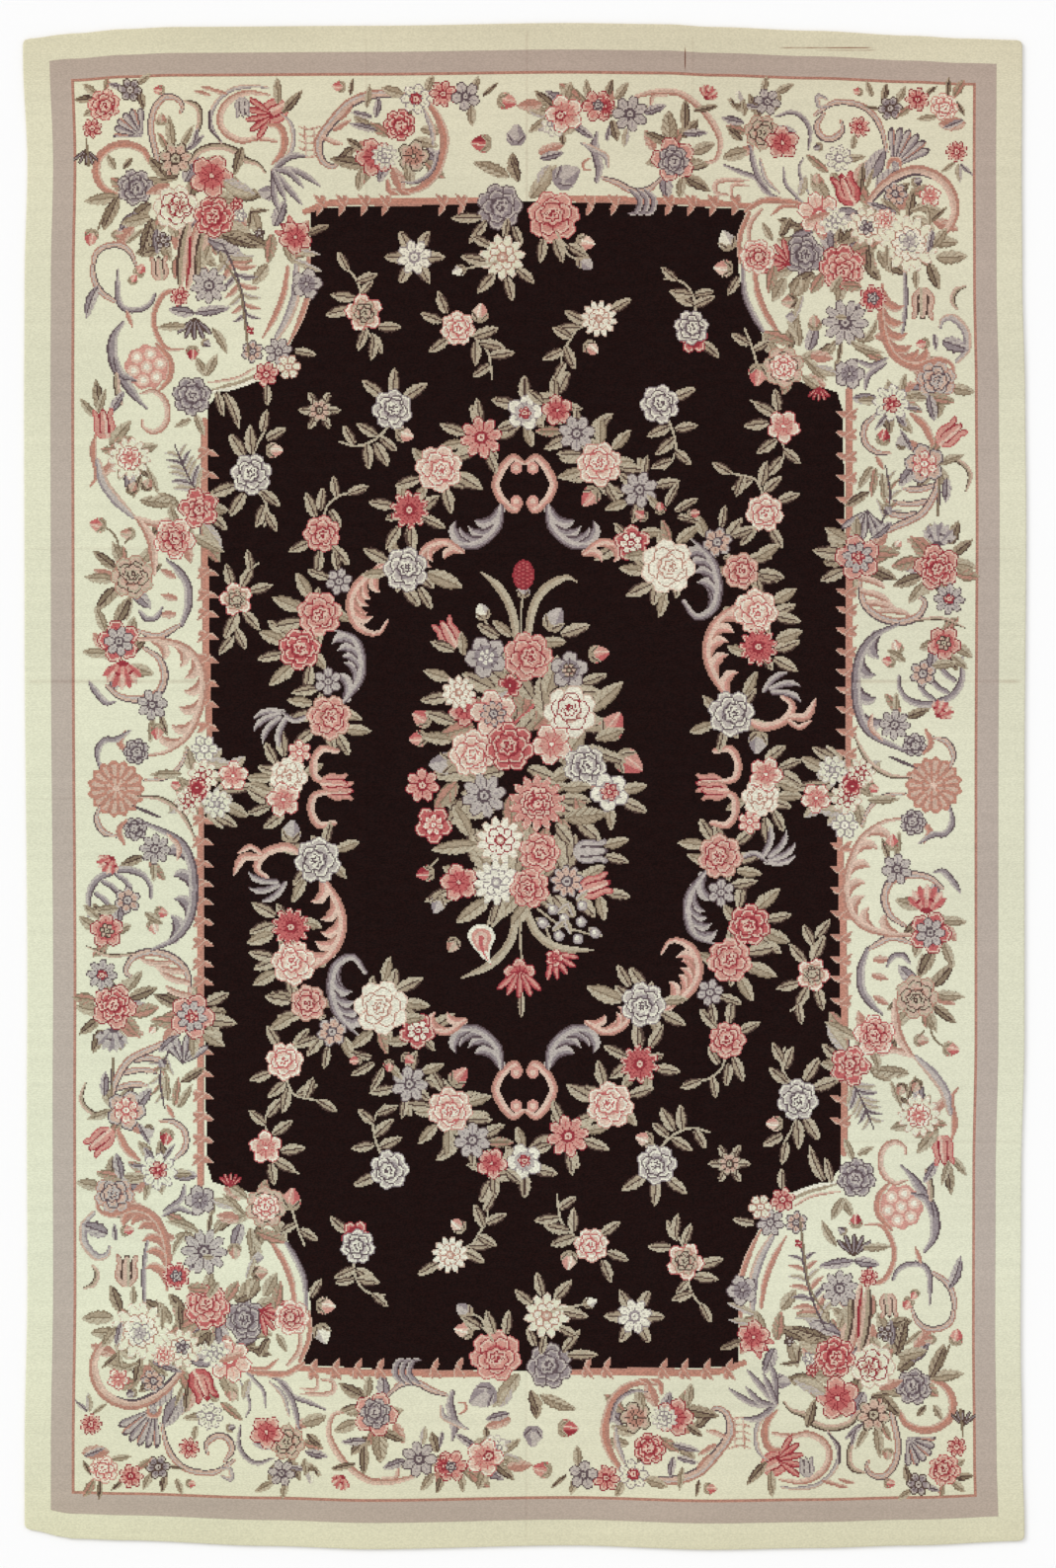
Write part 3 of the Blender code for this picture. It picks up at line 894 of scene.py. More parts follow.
def work_top_right_scrolls():
    """The scrollwork of the top border's right half and of the upper right corner."""
    band([(20.2, 124.4), (23.8, 125.2), (27.8, 124.9), (30.9, 122.9), (33.6, 119.9), (35.2, 116.4),
          (34.6, 113.2), (32.8, 112.4)], 1.2, "pink", ends=(0.6, 0.5))
    band([(22.6, 122.4), (23.2, 124.4), (25.6, 124.6)], 0.8, "pink", ends=(0.3, 0.6), flip=True)
    band([(14.0, 109.7), (16.7, 108.8), (19.4, 107.4), (22.2, 107.6), (24.8, 109.8)], 1.3, "mauve",
         ends=(0.5, 0.4), flip=True)
    band([(13.0, 117.8), (12.6, 115.0), (13.4, 111.6), (13.0, 109.2)], 1.6, "slate", ends=(0.3, 0.5))
    band([(10.2, 116.0), (12.4, 114.8), (14.6, 113.6), (15.0, 111.6)], 1.1, "pale", ends=(0.3, 0.5))
    band([(11.8, 113.2), (10.6, 112.4), (10.8, 111.2), (12.0, 111.2)], 0.5, "rose")
    for number in range(3):
        x = 19.6 + 1.3 * number
        band([(x - 0.6, 107.6), (x + 1.1, 105.8), (x + 0.6, 103.6), (x - 0.9, 103.2)], 1.1, "slate",
             ends=(0.4, 0.3))
    fan(66.2, 111.4, 8.0, 22, 98, 6, "slate")
    leaf(61.6, 109.2, 6.8, 62, "grey", 0.31)
    band([(65.3, 111.6), (66.0, 113.0), (67.4, 112.8), (67.8, 111.4)], 0.9, "rose")
    band([(45.2, 120.7), (48.0, 121.5), (50.2, 120.4), (51.4, 118.0), (51.1, 114.8)], 0.9, "slate",
         ends=(0.4, 0.3))
    band([(52.2, 121.0), (55.5, 123.1), (58.6, 123.2), (61.7, 122.0), (64.0, 119.0), (65.2, 114.4)], 1.2,
         "mauve", ends=(0.5, 0.5))
    band([(54.6, 123.8), (52.8, 124.4), (53.0, 122.6), (54.6, 122.6)], 0.8, "pale", ends=(0.4, 0.6))
    band([(53.8, 121.2), (52.6, 119.0), (53.6, 117.0), (55.6, 116.8), (57.2, 118.2), (57.0, 120.0)], 1.3,
         "mauve", ends=(0.5, 0.4))
    band([(61.8, 105.2), (64.0, 107.8), (67.1, 110.1), (70.6, 111.1), (74.2, 110.0), (76.6, 107.5),
          (77.5, 103.9), (76.4, 100.8), (73.8, 98.4)], 1.8, "pink", ends=(0.6, 0.5), flip=True)
    band([(62.4, 105.0), (64.8, 107.6), (67.6, 109.4), (70.6, 110.3), (73.4, 109.5)], 0.5, "line")
    band([(35.8, 112.0), (38.9, 110.7), (41.6, 109.6), (43.4, 107.2), (46.2, 105.8)], 0.9, "slate",
         ends=(0.4, 0.5), flip=True)
    band([(40.6, 115.4), (41.2, 112.4), (42.2, 109.6), (44.2, 107.0)], 1.1, "slate", ends=(0.5, 0.5))
    band([(42.4, 113.0), (43.4, 109.6), (46.0, 106.8)], 0.8, "pale")
    band([(36.4, 106.6), (34.6, 107.0), (34.4, 108.6), (36.3, 109.3), (40.3, 109.2)], 0.9, "pink")
    band([(37.2, 106.6), (37.6, 108.4), (40.4, 108.2)], 0.7, "pink")
    band([(46.6, 111.6), (47.0, 108.6), (48.8, 106.4), (51.0, 104.0)], 0.7, "slate", ends=(0.4, 0.4))
    band([(50.2, 113.4), (49.4, 111.4), (50.0, 109.0), (51.2, 106.8)], 0.6, "slate", ends=(0.4, 0.4))
    band([(39.8, 103.8), (43.0, 105.6), (48.0, 105.4), (51.0, 104.6)], 1.1, "rose", ends=(0.6, 0.3))
    band([(44.4, 103.0), (46.6, 104.6), (49.8, 104.4)], 0.8, "rose", ends=(0.3, 0.3))
    band([(38.8, 94.4), (38.7, 99.0), (40.4, 103.4)], 1.0, "rose", ends=(0.5, 0.8))
    band([(40.4, 98.0), (40.6, 101.4), (42.6, 104.0)], 0.9, "pink", ends=(0.5, 0.6))
    band([(41.4, 92.6), (42.0, 88.8), (43.8, 84.6), (46.4, 80.8)], 1.2, "rose", flip=True)
    band([(39.2, 93.8), (39.7, 88.6), (41.6, 84.2), (44.2, 80.4)], 1.1, "slate")
    band([(68.3, 93.6), (68.6, 88.0), (68.2, 83.0), (67.6, 80.4)], 0.9, "slate", flip=True)
    acanthus([(64.4, 90.4), (64.2, 84.3), (65.4, 79.4), (67.5, 76.8), (70.6, 75.8), (74.2, 77.0),
              (76.8, 76.2), (77.4, 73.6)], 1.7, "rose", 6, 1, 3.8, stop=0.6)
    band([(79.4, 90.1), (77.7, 89.4), (77.0, 87.6), (78.0, 86.0)], 1.0, "tan", ends=(0.3, 0.4), flip=True)
    band([(74.8, 82.8), (75.4, 84.2), (77.3, 84.4), (79.4, 82.0), (79.6, 78.8), (77.8, 76.6)], 1.5, "pale",
         ends=(0.4, 0.5))
    leaf(75.2, 80.4, 5.0, -20, "grey", 0.36)
    band([(59.5, 77.0), (62.4, 75.9), (65.4, 77.3)], 1.0, "slate", ends=(0.3, 0.3), flip=True)
    band([(61.3, 71.6), (62.0, 74.2), (65.2, 76.4)], 1.1, "slate", ends=(0.3, 0.3))
    band([(63.2, 67.1), (61.2, 64.9), (61.3, 62.0), (63.3, 60.3), (65.8, 60.1)], 1.2, "mauve",
         ends=(0.5, 0.4))
    band([(69.6, 67.2), (72.0, 65.0), (73.5, 61.8)], 1.4, "rose", ends=(0.4, 0.6))
    band([(63.4, 59.4), (64.6, 57.2)], 0.9, "rose")


TOP_RIGHT_CORNER = (
    ("leaf", 43.0, 125.0, 3.2, 80, "khaki", 0.26),
    ("leaf", 45.0, 124.8, 4.0, 28, "khaki", 0.23),
    ("leaf", 42.4, 122.2, 3.6, 168, "grey", 0.18),
    ("leaf", 39.6, 120.8, 3.0, 95, "khaki", 0.26),
    ("leaf", 39.4, 119.6, 4.0, 168, "grey", 0.26),
    ("leaf", 39.2, 116.4, 3.6, 140, "dark", 0.26),
    ("leaf", 40.0, 114.6, 4.6, 198, "khaki", 0.33),
    ("daisy", 43.7, 123.4, 2.5, 10, "slate", 6, 0.26),
    ("rose", 42.7, 117.9, 3.1, 50, "tan"),
    ("azalea", 46.4, 116.0, 3.0, 10, "coral"),
    ("bud", 52.8, 115.2, 0.9, 200, "deep"),
    ("bud", 60.0, 125.2, 0.9, 180, "coral"),
    ("leaf", 62.6, 124.2, 3.2, 110, "khaki", 0.23),
    ("leaf", 64.6, 123.6, 3.2, 80, "dark", 0.26),
    ("leaf", 67.0, 123.2, 3.4, 62, "khaki", 0.26),
    ("leaf", 64.4, 122.0, 3.2, 172, "dark", 0.15),
    ("daisy", 65.8, 122.2, 2.3, 0, "deep", 6, 0.3),
    ("leaf", 69.6, 122.6, 3.4, 218, "tan", 0.23),
    ("leaf", 72.2, 124.6, 2.6, 40, "dark", 0.23),
    ("daisy", 70.7, 123.8, 2.3, 0, "coral", 7, 0.24),
    ("leaf", 77.2, 124.2, 3.8, 60, "tan", 0.28),
    ("leaf", 77.8, 123.4, 3.0, 300, "dark", 0.20),
    ("leaf", 76.2, 124.4, 3.4, 88, "dark", 0.20),
    ("leaf", 74.2, 120.8, 3.6, 190, "khaki", 0.23),
    ("rose", 75.5, 122.5, 2.5, 0, "pink"),
    ("leaf", 79.4, 119.6, 5.0, 186, "pink", 0.33),
    ("leaf", 79.0, 120.2, 4.0, 205, "grey", 0.18),
    ("daisy", 60.3, 118.9, 2.0, 0, "coral", 8, 0.24),
    ("leaf", 59.0, 114.8, 2.8, 80, "khaki", 0.26),
    ("leaf", 57.8, 113.0, 3.6, 10, "khaki", 0.26),
    ("daisy", 56.6, 113.2, 2.5, 0, "shell", 8, 0.30),
    ("leaf", 54.6, 110.6, 5.2, 140, "tan", 0.19),
    ("bud", 52.7, 109.2, 1.3, 95, "tan"),
    ("leaf", 60.4, 107.0, 5.6, 84, "dark", 0.15),
    ("leaf", 61.4, 107.6, 4.0, 70, "khaki", 0.15),
    ("leaf", 49.6, 106.4, 4.0, 75, "pale", 0.26),
    ("tulip", 58.0, 107.6, 3.2, 112, "red"),
    ("tulip", 57.8, 107.8, 2.4, 112, "coral"),
    ("daisy", 77.8, 114.4, 2.1, 0, "coral", 9, 0.30),
    ("leaf", 77.4, 112.4, 3.0, 215, "khaki", 0.20),
    ("leaf", 78.0, 112.2, 3.4, 275, "pale", 0.23),
    ("leaf", 78.4, 112.2, 3.0, 318, "grey", 0.17),
    ("daisy", 66.7, 106.8, 2.3, 10, "mauve", 7, 0.3),
    ("bud", 70.6, 109.0, 1.1, 20, "deep"),
    ("azalea", 73.0, 106.4, 2.0, 0, "pink"),
    ("leaf", 69.0, 102.6, 5.0, 78, "dark", 0.23),
    ("leaf", 69.4, 103.6, 4.0, 20, "khaki", 0.18),
    ("leaf", 67.6, 103.0, 4.6, 140, "khaki", 0.22),
    ("leaf", 67.0, 103.2, 5.6, 160, "grey", 0.17),
    ("leaf", 72.6, 101.6, 4.4, 40, "dark", 0.17),
    ("leaf", 73.0, 101.2, 3.6, 95, "khaki", 0.18),
    ("daisy", 53.0, 103.2, 4.0, 30, "pink", 6, 0.2),
    ("mum", 55.6, 102.0, 2.6, 0, "shell", 9),
    ("leaf", 55.0, 103.4, 5.0, 200, "pink", 0.18),
    ("mum", 61.8, 101.0, 3.6, 0, "cream", 11),
    ("mum", 65.0, 102.2, 2.0, 0, "pink", 9),
    ("daisy", 61.6, 100.8, 1.4, 0, "slate", 5, 0.3),
    ("mum", 69.2, 97.8, 5.2, 15, "cream", 13),
    ("azalea", 69.2, 98.2, 2.0, 0, "shell"),
    ("leaf", 74.0, 95.2, 5.8, 4, "khaki", 0.28),
    ("leaf", 73.4, 97.0, 4.6, 55, "khaki", 0.26),
    ("leaf", 72.6, 96.2, 4.4, 78, "grey", 0.18),
    ("leaf", 72.8, 94.4, 5.2, 290, "dark", 0.26),
    ("leaf", 70.4, 93.0, 3.4, 272, "khaki", 0.26),
    ("leaf", 49.4, 100.8, 4.2, 160, "dark", 0.26),
    ("leaf", 46.0, 99.0, 4.0, 62, "dark", 0.26),
    ("leaf", 44.6, 98.4, 3.8, 120, "khaki", 0.23),
    ("rose", 50.2, 95.8, 3.6, 60, "steel"),
    ("leaf", 56.4, 98.2, 2.6, 80, "dark", 0.36),
    ("leaf", 52.2, 92.6, 5.6, 210, "dark", 0.26),
    ("leaf", 49.8, 92.0, 5.2, 245, "khaki", 0.23),
    ("leaf", 62.0, 97.6, 5.0, 275, "dark", 0.20),
    ("leaf", 63.6, 96.6, 4.6, 300, "khaki", 0.26),
    ("leaf", 65.2, 97.6, 4.4, 270, "khaki", 0.15),
    ("rose", 57.1, 93.6, 4.0, 0, "red"),
    ("rose", 57.1, 93.2, 3.2, 0, "coral"),
    ("bell", 46.0, 95.0, 2.6, 150, "coral"),
    ("leaf", 45.0, 94.0, 5.2, 258, "tan", 0.26),
    ("rose", 41.9, 95.5, 3.1, 90, "pink"),
    ("rose", 41.9, 95.5, 2.2, 30, "coral"),
    ("bud", 36.4, 98.4, 1.8, 112, "field_slate", "night"),
    ("bud", 35.8, 93.4, 1.7, 175, "pink", "night"),
    ("leaf", 38.6, 92.0, 4.0, 240, "night", 0.26),
    ("bold", 62.7, 88.0, 2.6, 0, "red"),
    ("daisy", 62.7, 88.0, 1.2, 0, "slate", 5, 0.6),
    ("leaf", 60.6, 90.0, 3.8, 175, "tan", 0.33),
    ("leaf", 55.2, 89.0, 3.6, 60, "khaki", 0.28),
    ("daisy", 57.7, 83.6, 4.3, 8, "slate", 10, 0.22),
    ("leaf", 58.0, 84.6, 2.2, 180, "khaki", 0.26),
    ("bud", 47.7, 87.4, 1.5, 185, "tan", "dark"),
    ("bud", 48.2, 84.6, 1.2, 180, "slate"),
    ("bud", 52.2, 83.6, 1.4, 95, "tan"),
    ("leaf", 50.0, 88.4, 4.6, 250, "pale", 0.15),
    ("leaf", 56.0, 80.4, 3.6, 232, "khaki", 0.17),
    ("leaf", 57.0, 80.0, 3.4, 262, "dark", 0.17),
    ("leaf", 58.6, 80.2, 6.4, -18, "khaki", 0.17, -0.08),
    ("leaf", 61.0, 80.2, 5.0, 60, "khaki", 0.15, -0.08),
    ("leaf", 48.2, 80.0, 5.6, 160, "tan", 0.26),
    ("leaf", 49.4, 79.4, 4.2, 95, "khaki", 0.26),
    ("leaf", 51.4, 77.8, 4.2, -8, "pink", 0.33),
    ("leaf", 50.6, 77.0, 5.4, -45, "khaki", 0.20),
    ("leaf", 52.4, 75.6, 4.4, -20, "pale", 0.26),
    ("azalea", 58.5, 74.4, 2.8, 30, "slate"),
    ("leaf", 50.0, 74.0, 4.4, -35, "khaki", 0.26),
    ("rose", 46.6, 75.6, 3.6, 0, "rose"),
    ("rose", 46.6, 75.6, 2.4, 0, "pink"),
    ("bell", 53.0, 71.0, 1.5, 268, "coral"),
    ("tulip", 71.7, 87.0, 3.0, 268, "tan"),
    ("bud", 71.7, 79.8, 1.2, 190, "coral"),
    ("leaf", 73.8, 81.6, 3.0, 275, "grey", 0.23),
    ("rose", 74.1, 73.2, 3.5, 30, "mauve"),
    ("leaf", 72.4, 70.0, 4.6, 176, "khaki", 0.23),
    ("leaf", 72.6, 70.4, 5.0, -12, "tan", 0.26),
    ("leaf", 72.8, 70.6, 4.8, 282, "grey", 0.26),
    ("leaf", 67.6, 70.6, 4.0, 76, "khaki", 0.20),
    ("leaf", 63.6, 69.4, 3.8, 176, "khaki", 0.26),
    ("leaf", 68.2, 70.4, 3.6, 10, "khaki", 0.26),
    ("leaf", 68.0, 68.6, 3.6, -10, "grey", 0.17),
    ("leaf", 67.0, 67.6, 3.2, 300, "grey", 0.31),
    ("daisy", 66.0, 69.2, 3.4, 12, "shell", 8, 0.26),
    ("daisy", 66.0, 69.0, 1.7, 0, "coral", 5, 0.24),
    ("leaf", 65.2, 67.0, 3.4, 232, "grey", 0.17),
    ("bud", 64.6, 63.0, 1.5, 78, "red"),
    ("bud", 67.8, 62.0, 1.2, 105, "slate", "dark"),
    ("tulip", 76.6, 63.6, 2.9, 40, "coral"),
)


def work_left_border_scrolls():
    """The bands of the left border, from the corner down to the middle."""
    band([(-77.2, 63.4), (-77.7, 60.3), (-76.9, 56.3), (-78.1, 54.2)], 1.2, "rose", ends=(0.4, 0.3))
    band([(-76.8, 58.8), (-75.8, 55.0), (-73.6, 51.8), (-70.4, 48.6)], 1.8, "pale", ends=(0.5, 0.5))
    band([(-69.9, 48.4), (-66.1, 47.4), (-62.4, 48.8)], 1.2, "pink", ends=(0.6, 0.4))
    band([(-69.2, 47.8), (-67.4, 44.9), (-66.8, 41.8), (-66.6, 38.4)], 1.6, "pink", ends=(0.6, 0.4))
    band([(-64.4, 40.9), (-62.5, 39.2), (-60.7, 36.4), (-60.5, 32.9), (-61.7, 29.2)], 1.5, "slate",
         ends=(0.3, 0.6), flip=True)
    for x, y, turn in ((-62.4, 33.8, 165), (-62.6, 31.0, 178), (-62.8, 37.6, 150)):
        leaf(x, y, 3.2, turn, "pink", 0.26)
    band([(-62.2, 29.0), (-66.1, 27.1), (-70.0, 28.3)], 1.3, "mauve", ends=(0.6, 0.3), flip=True)
    acanthus([(-70.2, 26.8), (-65.2, 26.4), (-60.8, 24.9), (-58.4, 21.8), (-57.8, 17.8), (-58.6, 13.8),
              (-60.6, 9.4), (-64.4, 6.4), (-68.2, 5.7)], 1.7, "pink", 7, -1, 3.4, start=0.1, stop=0.8)
    band([(-68.4, 25.0), (-65.8, 23.1), (-64.8, 20.0), (-65.9, 17.0), (-69.2, 15.8), (-72.8, 16.3),
          (-75.2, 18.2)], 1.5, "mauve", ends=(0.5, 0.5), flip=True)
    band([(-78.4, 19.0), (-77.2, 17.2), (-75.4, 15.2), (-73.6, 15.4)], 1.2, "slate", ends=(0.4, 0.3))
    band([(-69.4, 31.8), (-68.0, 30.3), (-66.2, 30.6), (-65.2, 32.4)], 1.1, "slate", ends=(0.4, 0.3))
    band([(-71.8, 9.9), (-72.8, 8.0), (-71.4, 6.2)], 1.2, "rose", ends=(0.4, 0.5))
    band([(-71.0, 10.2), (-73.4, 8.6), (-75.6, 8.4), (-76.9, 6.4), (-76.4, 3.4)], 1.2, "slate",
         ends=(0.3, 0.4))
    band([(-68.4, 1.2), (-64.8, 1.6), (-62.1, 3.7), (-60.6, 7.0)], 0.8, "mauve", ends=(0.5, 0.4))
    garland([(-58.4, 52.4), (-60.4, 55.6), (-63.0, 61.6)], ("pale", "grey", "pale"), 6, 4.4, 50)
    band([(-76.0, 47.2), (-73.6, 45.0), (-72.6, 41.0)], 0.4, "stem")
    band([(-70.6, 45.2), (-72.2, 43.6)], 0.4, "stem")
    stalk([(-78.4, 111.8), (-78.9, 116.6)])
    stalk([(-76.8, 100.4), (-75.2, 104.4)])
    stalk([(-49.6, 77.6), (-50.4, 84.0), (-51.4, 90.0), (-54.0, 94.6)])


LEFT_BORDER = (
    ("leaf", -76.4, 67.6, 5.8, 98, "dark", 0.22),
    ("leaf", -76.8, 67.4, 4.4, 72, "khaki", 0.20),
    ("leaf", -74.6, 67.4, 4.6, 58, "grey", 0.23),
    ("leaf", -77.4, 66.6, 4.2, 128, "khaki", 0.22),
    ("tulip", -75.7, 65.4, 2.8, 96, "coral"),
    ("leaf", -74.6, 61.8, 5.6, 48, "khaki", 0.26),
    ("leaf", -74.8, 61.6, 4.6, 18, "tan", 0.26),
    ("mum", -71.2, 59.2, 3.8, 0, "cream", 13),
    ("azalea", -71.0, 59.2, 1.9, 0, "pink"),
    ("leaf", -69.0, 56.2, 4.4, 250, "dark", 0.19),
    ("leaf", -67.6, 57.0, 4.4, 292, "khaki", 0.18),
    ("bud", -70.6, 53.8, 1.2, 62, "tan", "dark"),
    ("bud", -67.9, 54.4, 1.2, 70, "tan", "dark"),
    ("veined", -69.2, 51.6, 7.0, -6, "khaki", 0.20),
    ("leaf", -62.6, 46.8, 4.4, 108, "khaki", 0.23),
    ("bud", -76.8, 47.2, 1.5, 175, "coral"),
    ("bud", -71.4, 45.6, 1.3, 178, "tan"),
    ("leaf", -57.2, 49.6, 5.0, -42, "night", 0.26),
    ("leaf", -58.0, 47.6, 5.8, -52, "pale", 0.26),
    ("leaf", -60.0, 45.4, 6.8, -28, "khaki", 0.19),
    ("azalea", -58.6, 50.2, 3.7, 36, "red"),
    ("rose", -58.8, 50.0, 2.5, 20, "coral"),
    ("azalea", -63.0, 44.8, 3.8, 0, "pink"),
    ("rose", -63.2, 44.6, 2.9, 80, "coral"),
    ("leaf", -72.4, 39.8, 4.8, 112, "khaki", 0.22),
    ("leaf", -73.4, 39.2, 5.4, 142, "dark", 0.22),
    ("leaf", -73.8, 37.4, 5.4, 176, "khaki", 0.22),
    ("leaf", -73.4, 36.0, 5.6, 228, "dark", 0.26),
    ("leaf", -71.0, 34.4, 4.4, 262, "khaki", 0.20),
    ("rose", -70.6, 37.8, 3.8, 130, "tan"),
    ("leaf", -73.6, 29.4, 5.6, 62, "dark", 0.26),
    ("leaf", -75.4, 28.0, 5.0, 112, "khaki", 0.23),
    ("leaf", -75.0, 24.0, 4.6, 176, "khaki", 0.26),
    ("azalea", -73.0, 26.2, 3.8, 0, "red"),
    ("daisy", -73.0, 26.2, 2.8, 0, "slate", 7, 0.3),
    ("carnation", -72.4, 20.8, 2.9, 268, "coral"),
    ("leaf", -66.8, 12.6, 4.8, 262, "khaki", 0.18),
    ("leaf", -65.6, 13.0, 4.0, 290, "dark", 0.20),
    ("daisy", -67.0, 14.8, 2.9, 0, "slate", 7, 0.24),
    ("bud", -66.1, 10.0, 1.4, 268, "coral"),
    ("rose", -69.9, 6.4, 2.3, 0, "steel"),
    ("daisy", -57.6, 6.9, 2.5, 0, "shell", 6, 0.34),
    ("leaf", -57.0, 4.6, 4.8, 350, "pale", 0.28),
    ("leaf", -61.8, 2.4, 5.6, 182, "khaki", 0.18),
    ("rosette", -73.5, -0.3, 4.9, 0, "boss"),
)


def work_right_border_scrolls():
    """The bands of the right border, from the corner down to the middle."""
    band([(75.2, 59.4), (78.2, 58.6), (80.2, 56.3), (79.4, 53.2)], 0.9, "tan", ends=(0.4, 0.3))
    band([(74.6, 56.0), (74.4, 49.0)], 0.7, "line")
    garland([(64.2, 47.4), (65.8, 52.0), (65.0, 57.8)], ("pale", "tan"), 5, 3.6, 46)
    for x, y, length, turn in ((73.8, 54.4, 5.0, 202), (72.6, 51.6, 5.2, 198), (70.4, 49.2, 4.8, 192)):
        claw(x, y, length, turn, -30, "mauve", 1.2)
    band([(74.5, 57.2), (74.0, 53.4), (71.4, 49.2), (66.6, 46.8), (62.4, 44.6)], 1.4, "mauve",
         ends=(0.5, 0.4))
    band([(60.2, 38.0), (61.0, 33.4), (63.6, 30.7), (67.4, 29.7), (70.7, 30.7), (72.1, 33.1), (70.9, 34.4)],
         1.5, "mauve", ends=(0.3, 0.5))
    for x, y, length, turn in ((60.4, 37.6, 4.0, -6), (60.8, 35.2, 4.8, -8), (61.8, 33.2, 5.0, -2),
                               (64.0, 31.6, 4.6, 8)):
        claw(x, y, length, turn, -28, "pink", 1.2)
    acanthus([(67.4, 29.4), (63.0, 27.2), (60.4, 23.6), (59.6, 18.6), (60.2, 13.4), (62.6, 9.4),
              (68.6, 6.4)], 2.1, "slate", 4, 1, 3.4, start=0.15, stop=0.66, ends=(0.3, 0.4))
    band([(70.2, 30.0), (75.1, 30.3), (79.2, 28.7)], 0.7, "tan", ends=(0.5, 0.3))
    band([(78.8, 23.4), (78.6, 19.1), (76.8, 16.4), (72.8, 14.9), (69.3, 15.6), (67.5, 17.8), (67.4, 20.0)],
         1.3, "slate", ends=(0.3, 0.4))
    for x, y, turn in ((77.4, 19.2, 150), (76.2, 17.0, 158), (73.6, 15.8, 150)):
        claw(x, y, 3.6, turn, -36, "slate", 1.0)
    band([(62.6, 13.2), (62.3, 10.8), (64.4, 8.4)], 0.9, "pink", ends=(0.3, 0.3))
    band([(72.2, 10.3), (73.1, 7.9), (71.8, 6.0)], 1.1, "rose", ends=(0.4, 0.5), flip=True)
    band([(73.6, 8.9), (76.0, 8.1), (77.2, 5.8), (76.6, 3.6)], 1.2, "mauve", ends=(0.4, 0.4), flip=True)
    band([(59.3, 9.4), (61.7, 4.9), (65.3, 2.2), (69.5, 1.7)], 0.9, "tan", ends=(0.3, 0.4))
    band([(65.8, 5.4), (70.6, 3.4)], 0.6, "line")
    stalk([(74.4, 48.8), (74.6, 56.0)])


RIGHT_BORDER = (
    ("leaf", 74.4, 58.2, 5.0, 20, "khaki", 0.19),
    ("leaf", 69.6, 60.6, 4.2, 118, "grey", 0.18),
    ("azalea", 72.0, 58.2, 3.6, 20, "mauve"),
    ("daisy", 72.0, 58.2, 2.4, 0, "pink", 6, 0.34),
    ("leaf", 76.0, 55.6, 4.4, 268, "grey", 0.26),
    ("leaf", 62.6, 57.8, 5.0, 238, "khaki", 0.20),
    ("leaf", 63.2, 57.4, 5.2, 262, "tan", 0.18),
    ("leaf", 64.4, 56.4, 5.0, 276, "khaki", 0.18),
    ("leaf", 62.0, 53.2, 5.2, 212, "dark", 0.20),
    ("bell", 61.3, 47.6, 3.0, 262, "slate"),
    ("bud", 65.2, 50.0, 1.1, 300, "deep"),
    ("leaf", 58.4, 44.0, 5.2, 148, "khaki", 0.28),
    ("leaf", 57.4, 41.8, 5.6, 172, "night", 0.28),
    ("leaf", 57.8, 39.2, 5.0, 205, "night", 0.28),
    ("leaf", 62.0, 42.6, 5.6, -6, "tan", 0.26),
    ("leaf", 62.4, 39.6, 5.2, -26, "dark", 0.23),
    ("leaf", 59.4, 44.2, 4.6, 84, "khaki", 0.26),
    ("leaf", 62.6, 44.8, 4.6, 40, "grey", 0.26),
    ("azalea", 60.0, 41.3, 4.1, 0, "coral"),
    ("daisy", 60.0, 41.3, 2.9, 10, "slate", 8, 0.3),
    ("daisy", 60.0, 41.3, 1.3, 0, "coral", 5, 0.4),
    ("bud", 67.1, 43.6, 0.9, 60, "pink"),
    ("leaf", 73.0, 40.6, 5.8, 128, "tan", 0.26),
    ("leaf", 73.6, 42.6, 4.8, 96, "dark", 0.18),
    ("carnation", 74.6, 45.0, 2.5, 80, "slate"),
    ("leaf", 76.8, 41.6, 4.8, 38, "dark", 0.26),
    ("leaf", 77.6, 38.4, 4.4, -8, "tan", 0.31),
    ("leaf", 71.4, 38.0, 5.4, 200, "dark", 0.26),
    ("leaf", 72.0, 36.8, 4.8, 232, "khaki", 0.23),
    ("azalea", 74.2, 39.6, 4.1, 50, "coral"),
    ("rose", 74.2, 39.4, 2.9, 10, "red"),
    ("daisy", 76.4, 33.8, 2.9, 0, "slate", 8, 0.38),
    ("daisy", 76.4, 33.8, 1.0, 0, "coral", 5, 0.6),
    ("azalea", 75.5, 25.9, 3.1, 36, "coral"),
    ("daisy", 75.5, 25.9, 1.4, 0, "tan", 6, 0.4),
    ("leaf", 77.0, 23.6, 3.6, -40, "khaki", 0.26),
    ("daisy", 71.7, 20.4, 2.5, 0, "mauve", 6, 0.36),
    ("leaf", 73.4, 21.8, 4.4, 8, "khaki", 0.26),
    ("bud", 67.0, 25.2, 1.3, 112, "pink"),
    ("bud", 65.6, 22.6, 1.2, 170, "coral"),
    ("leaf", 68.6, 22.6, 4.0, 148, "khaki", 0.23),
    ("leaf", 67.6, 13.4, 4.4, 128, "tan", 0.26),
    ("leaf", 68.8, 12.6, 4.4, 20, "dark", 0.26),
    ("leaf", 66.8, 13.6, 3.4, 88, "khaki", 0.23),
    ("daisy", 66.6, 11.2, 2.9, 0, "slate", 8, 0.3),
    ("carnation", 75.0, 13.6, 1.9, 52, "coral"),
    ("rose", 70.2, 7.6, 2.1, 0, "steel"),
    ("leaf", 55.4, 0.6, 7.4, 186, "night", 0.18),
    ("leaf", 56.2, 4.6, 5.2, 150, "night", 0.26),
    ("bud", 62.6, -0.2, 1.2, -20, "coral"),
)

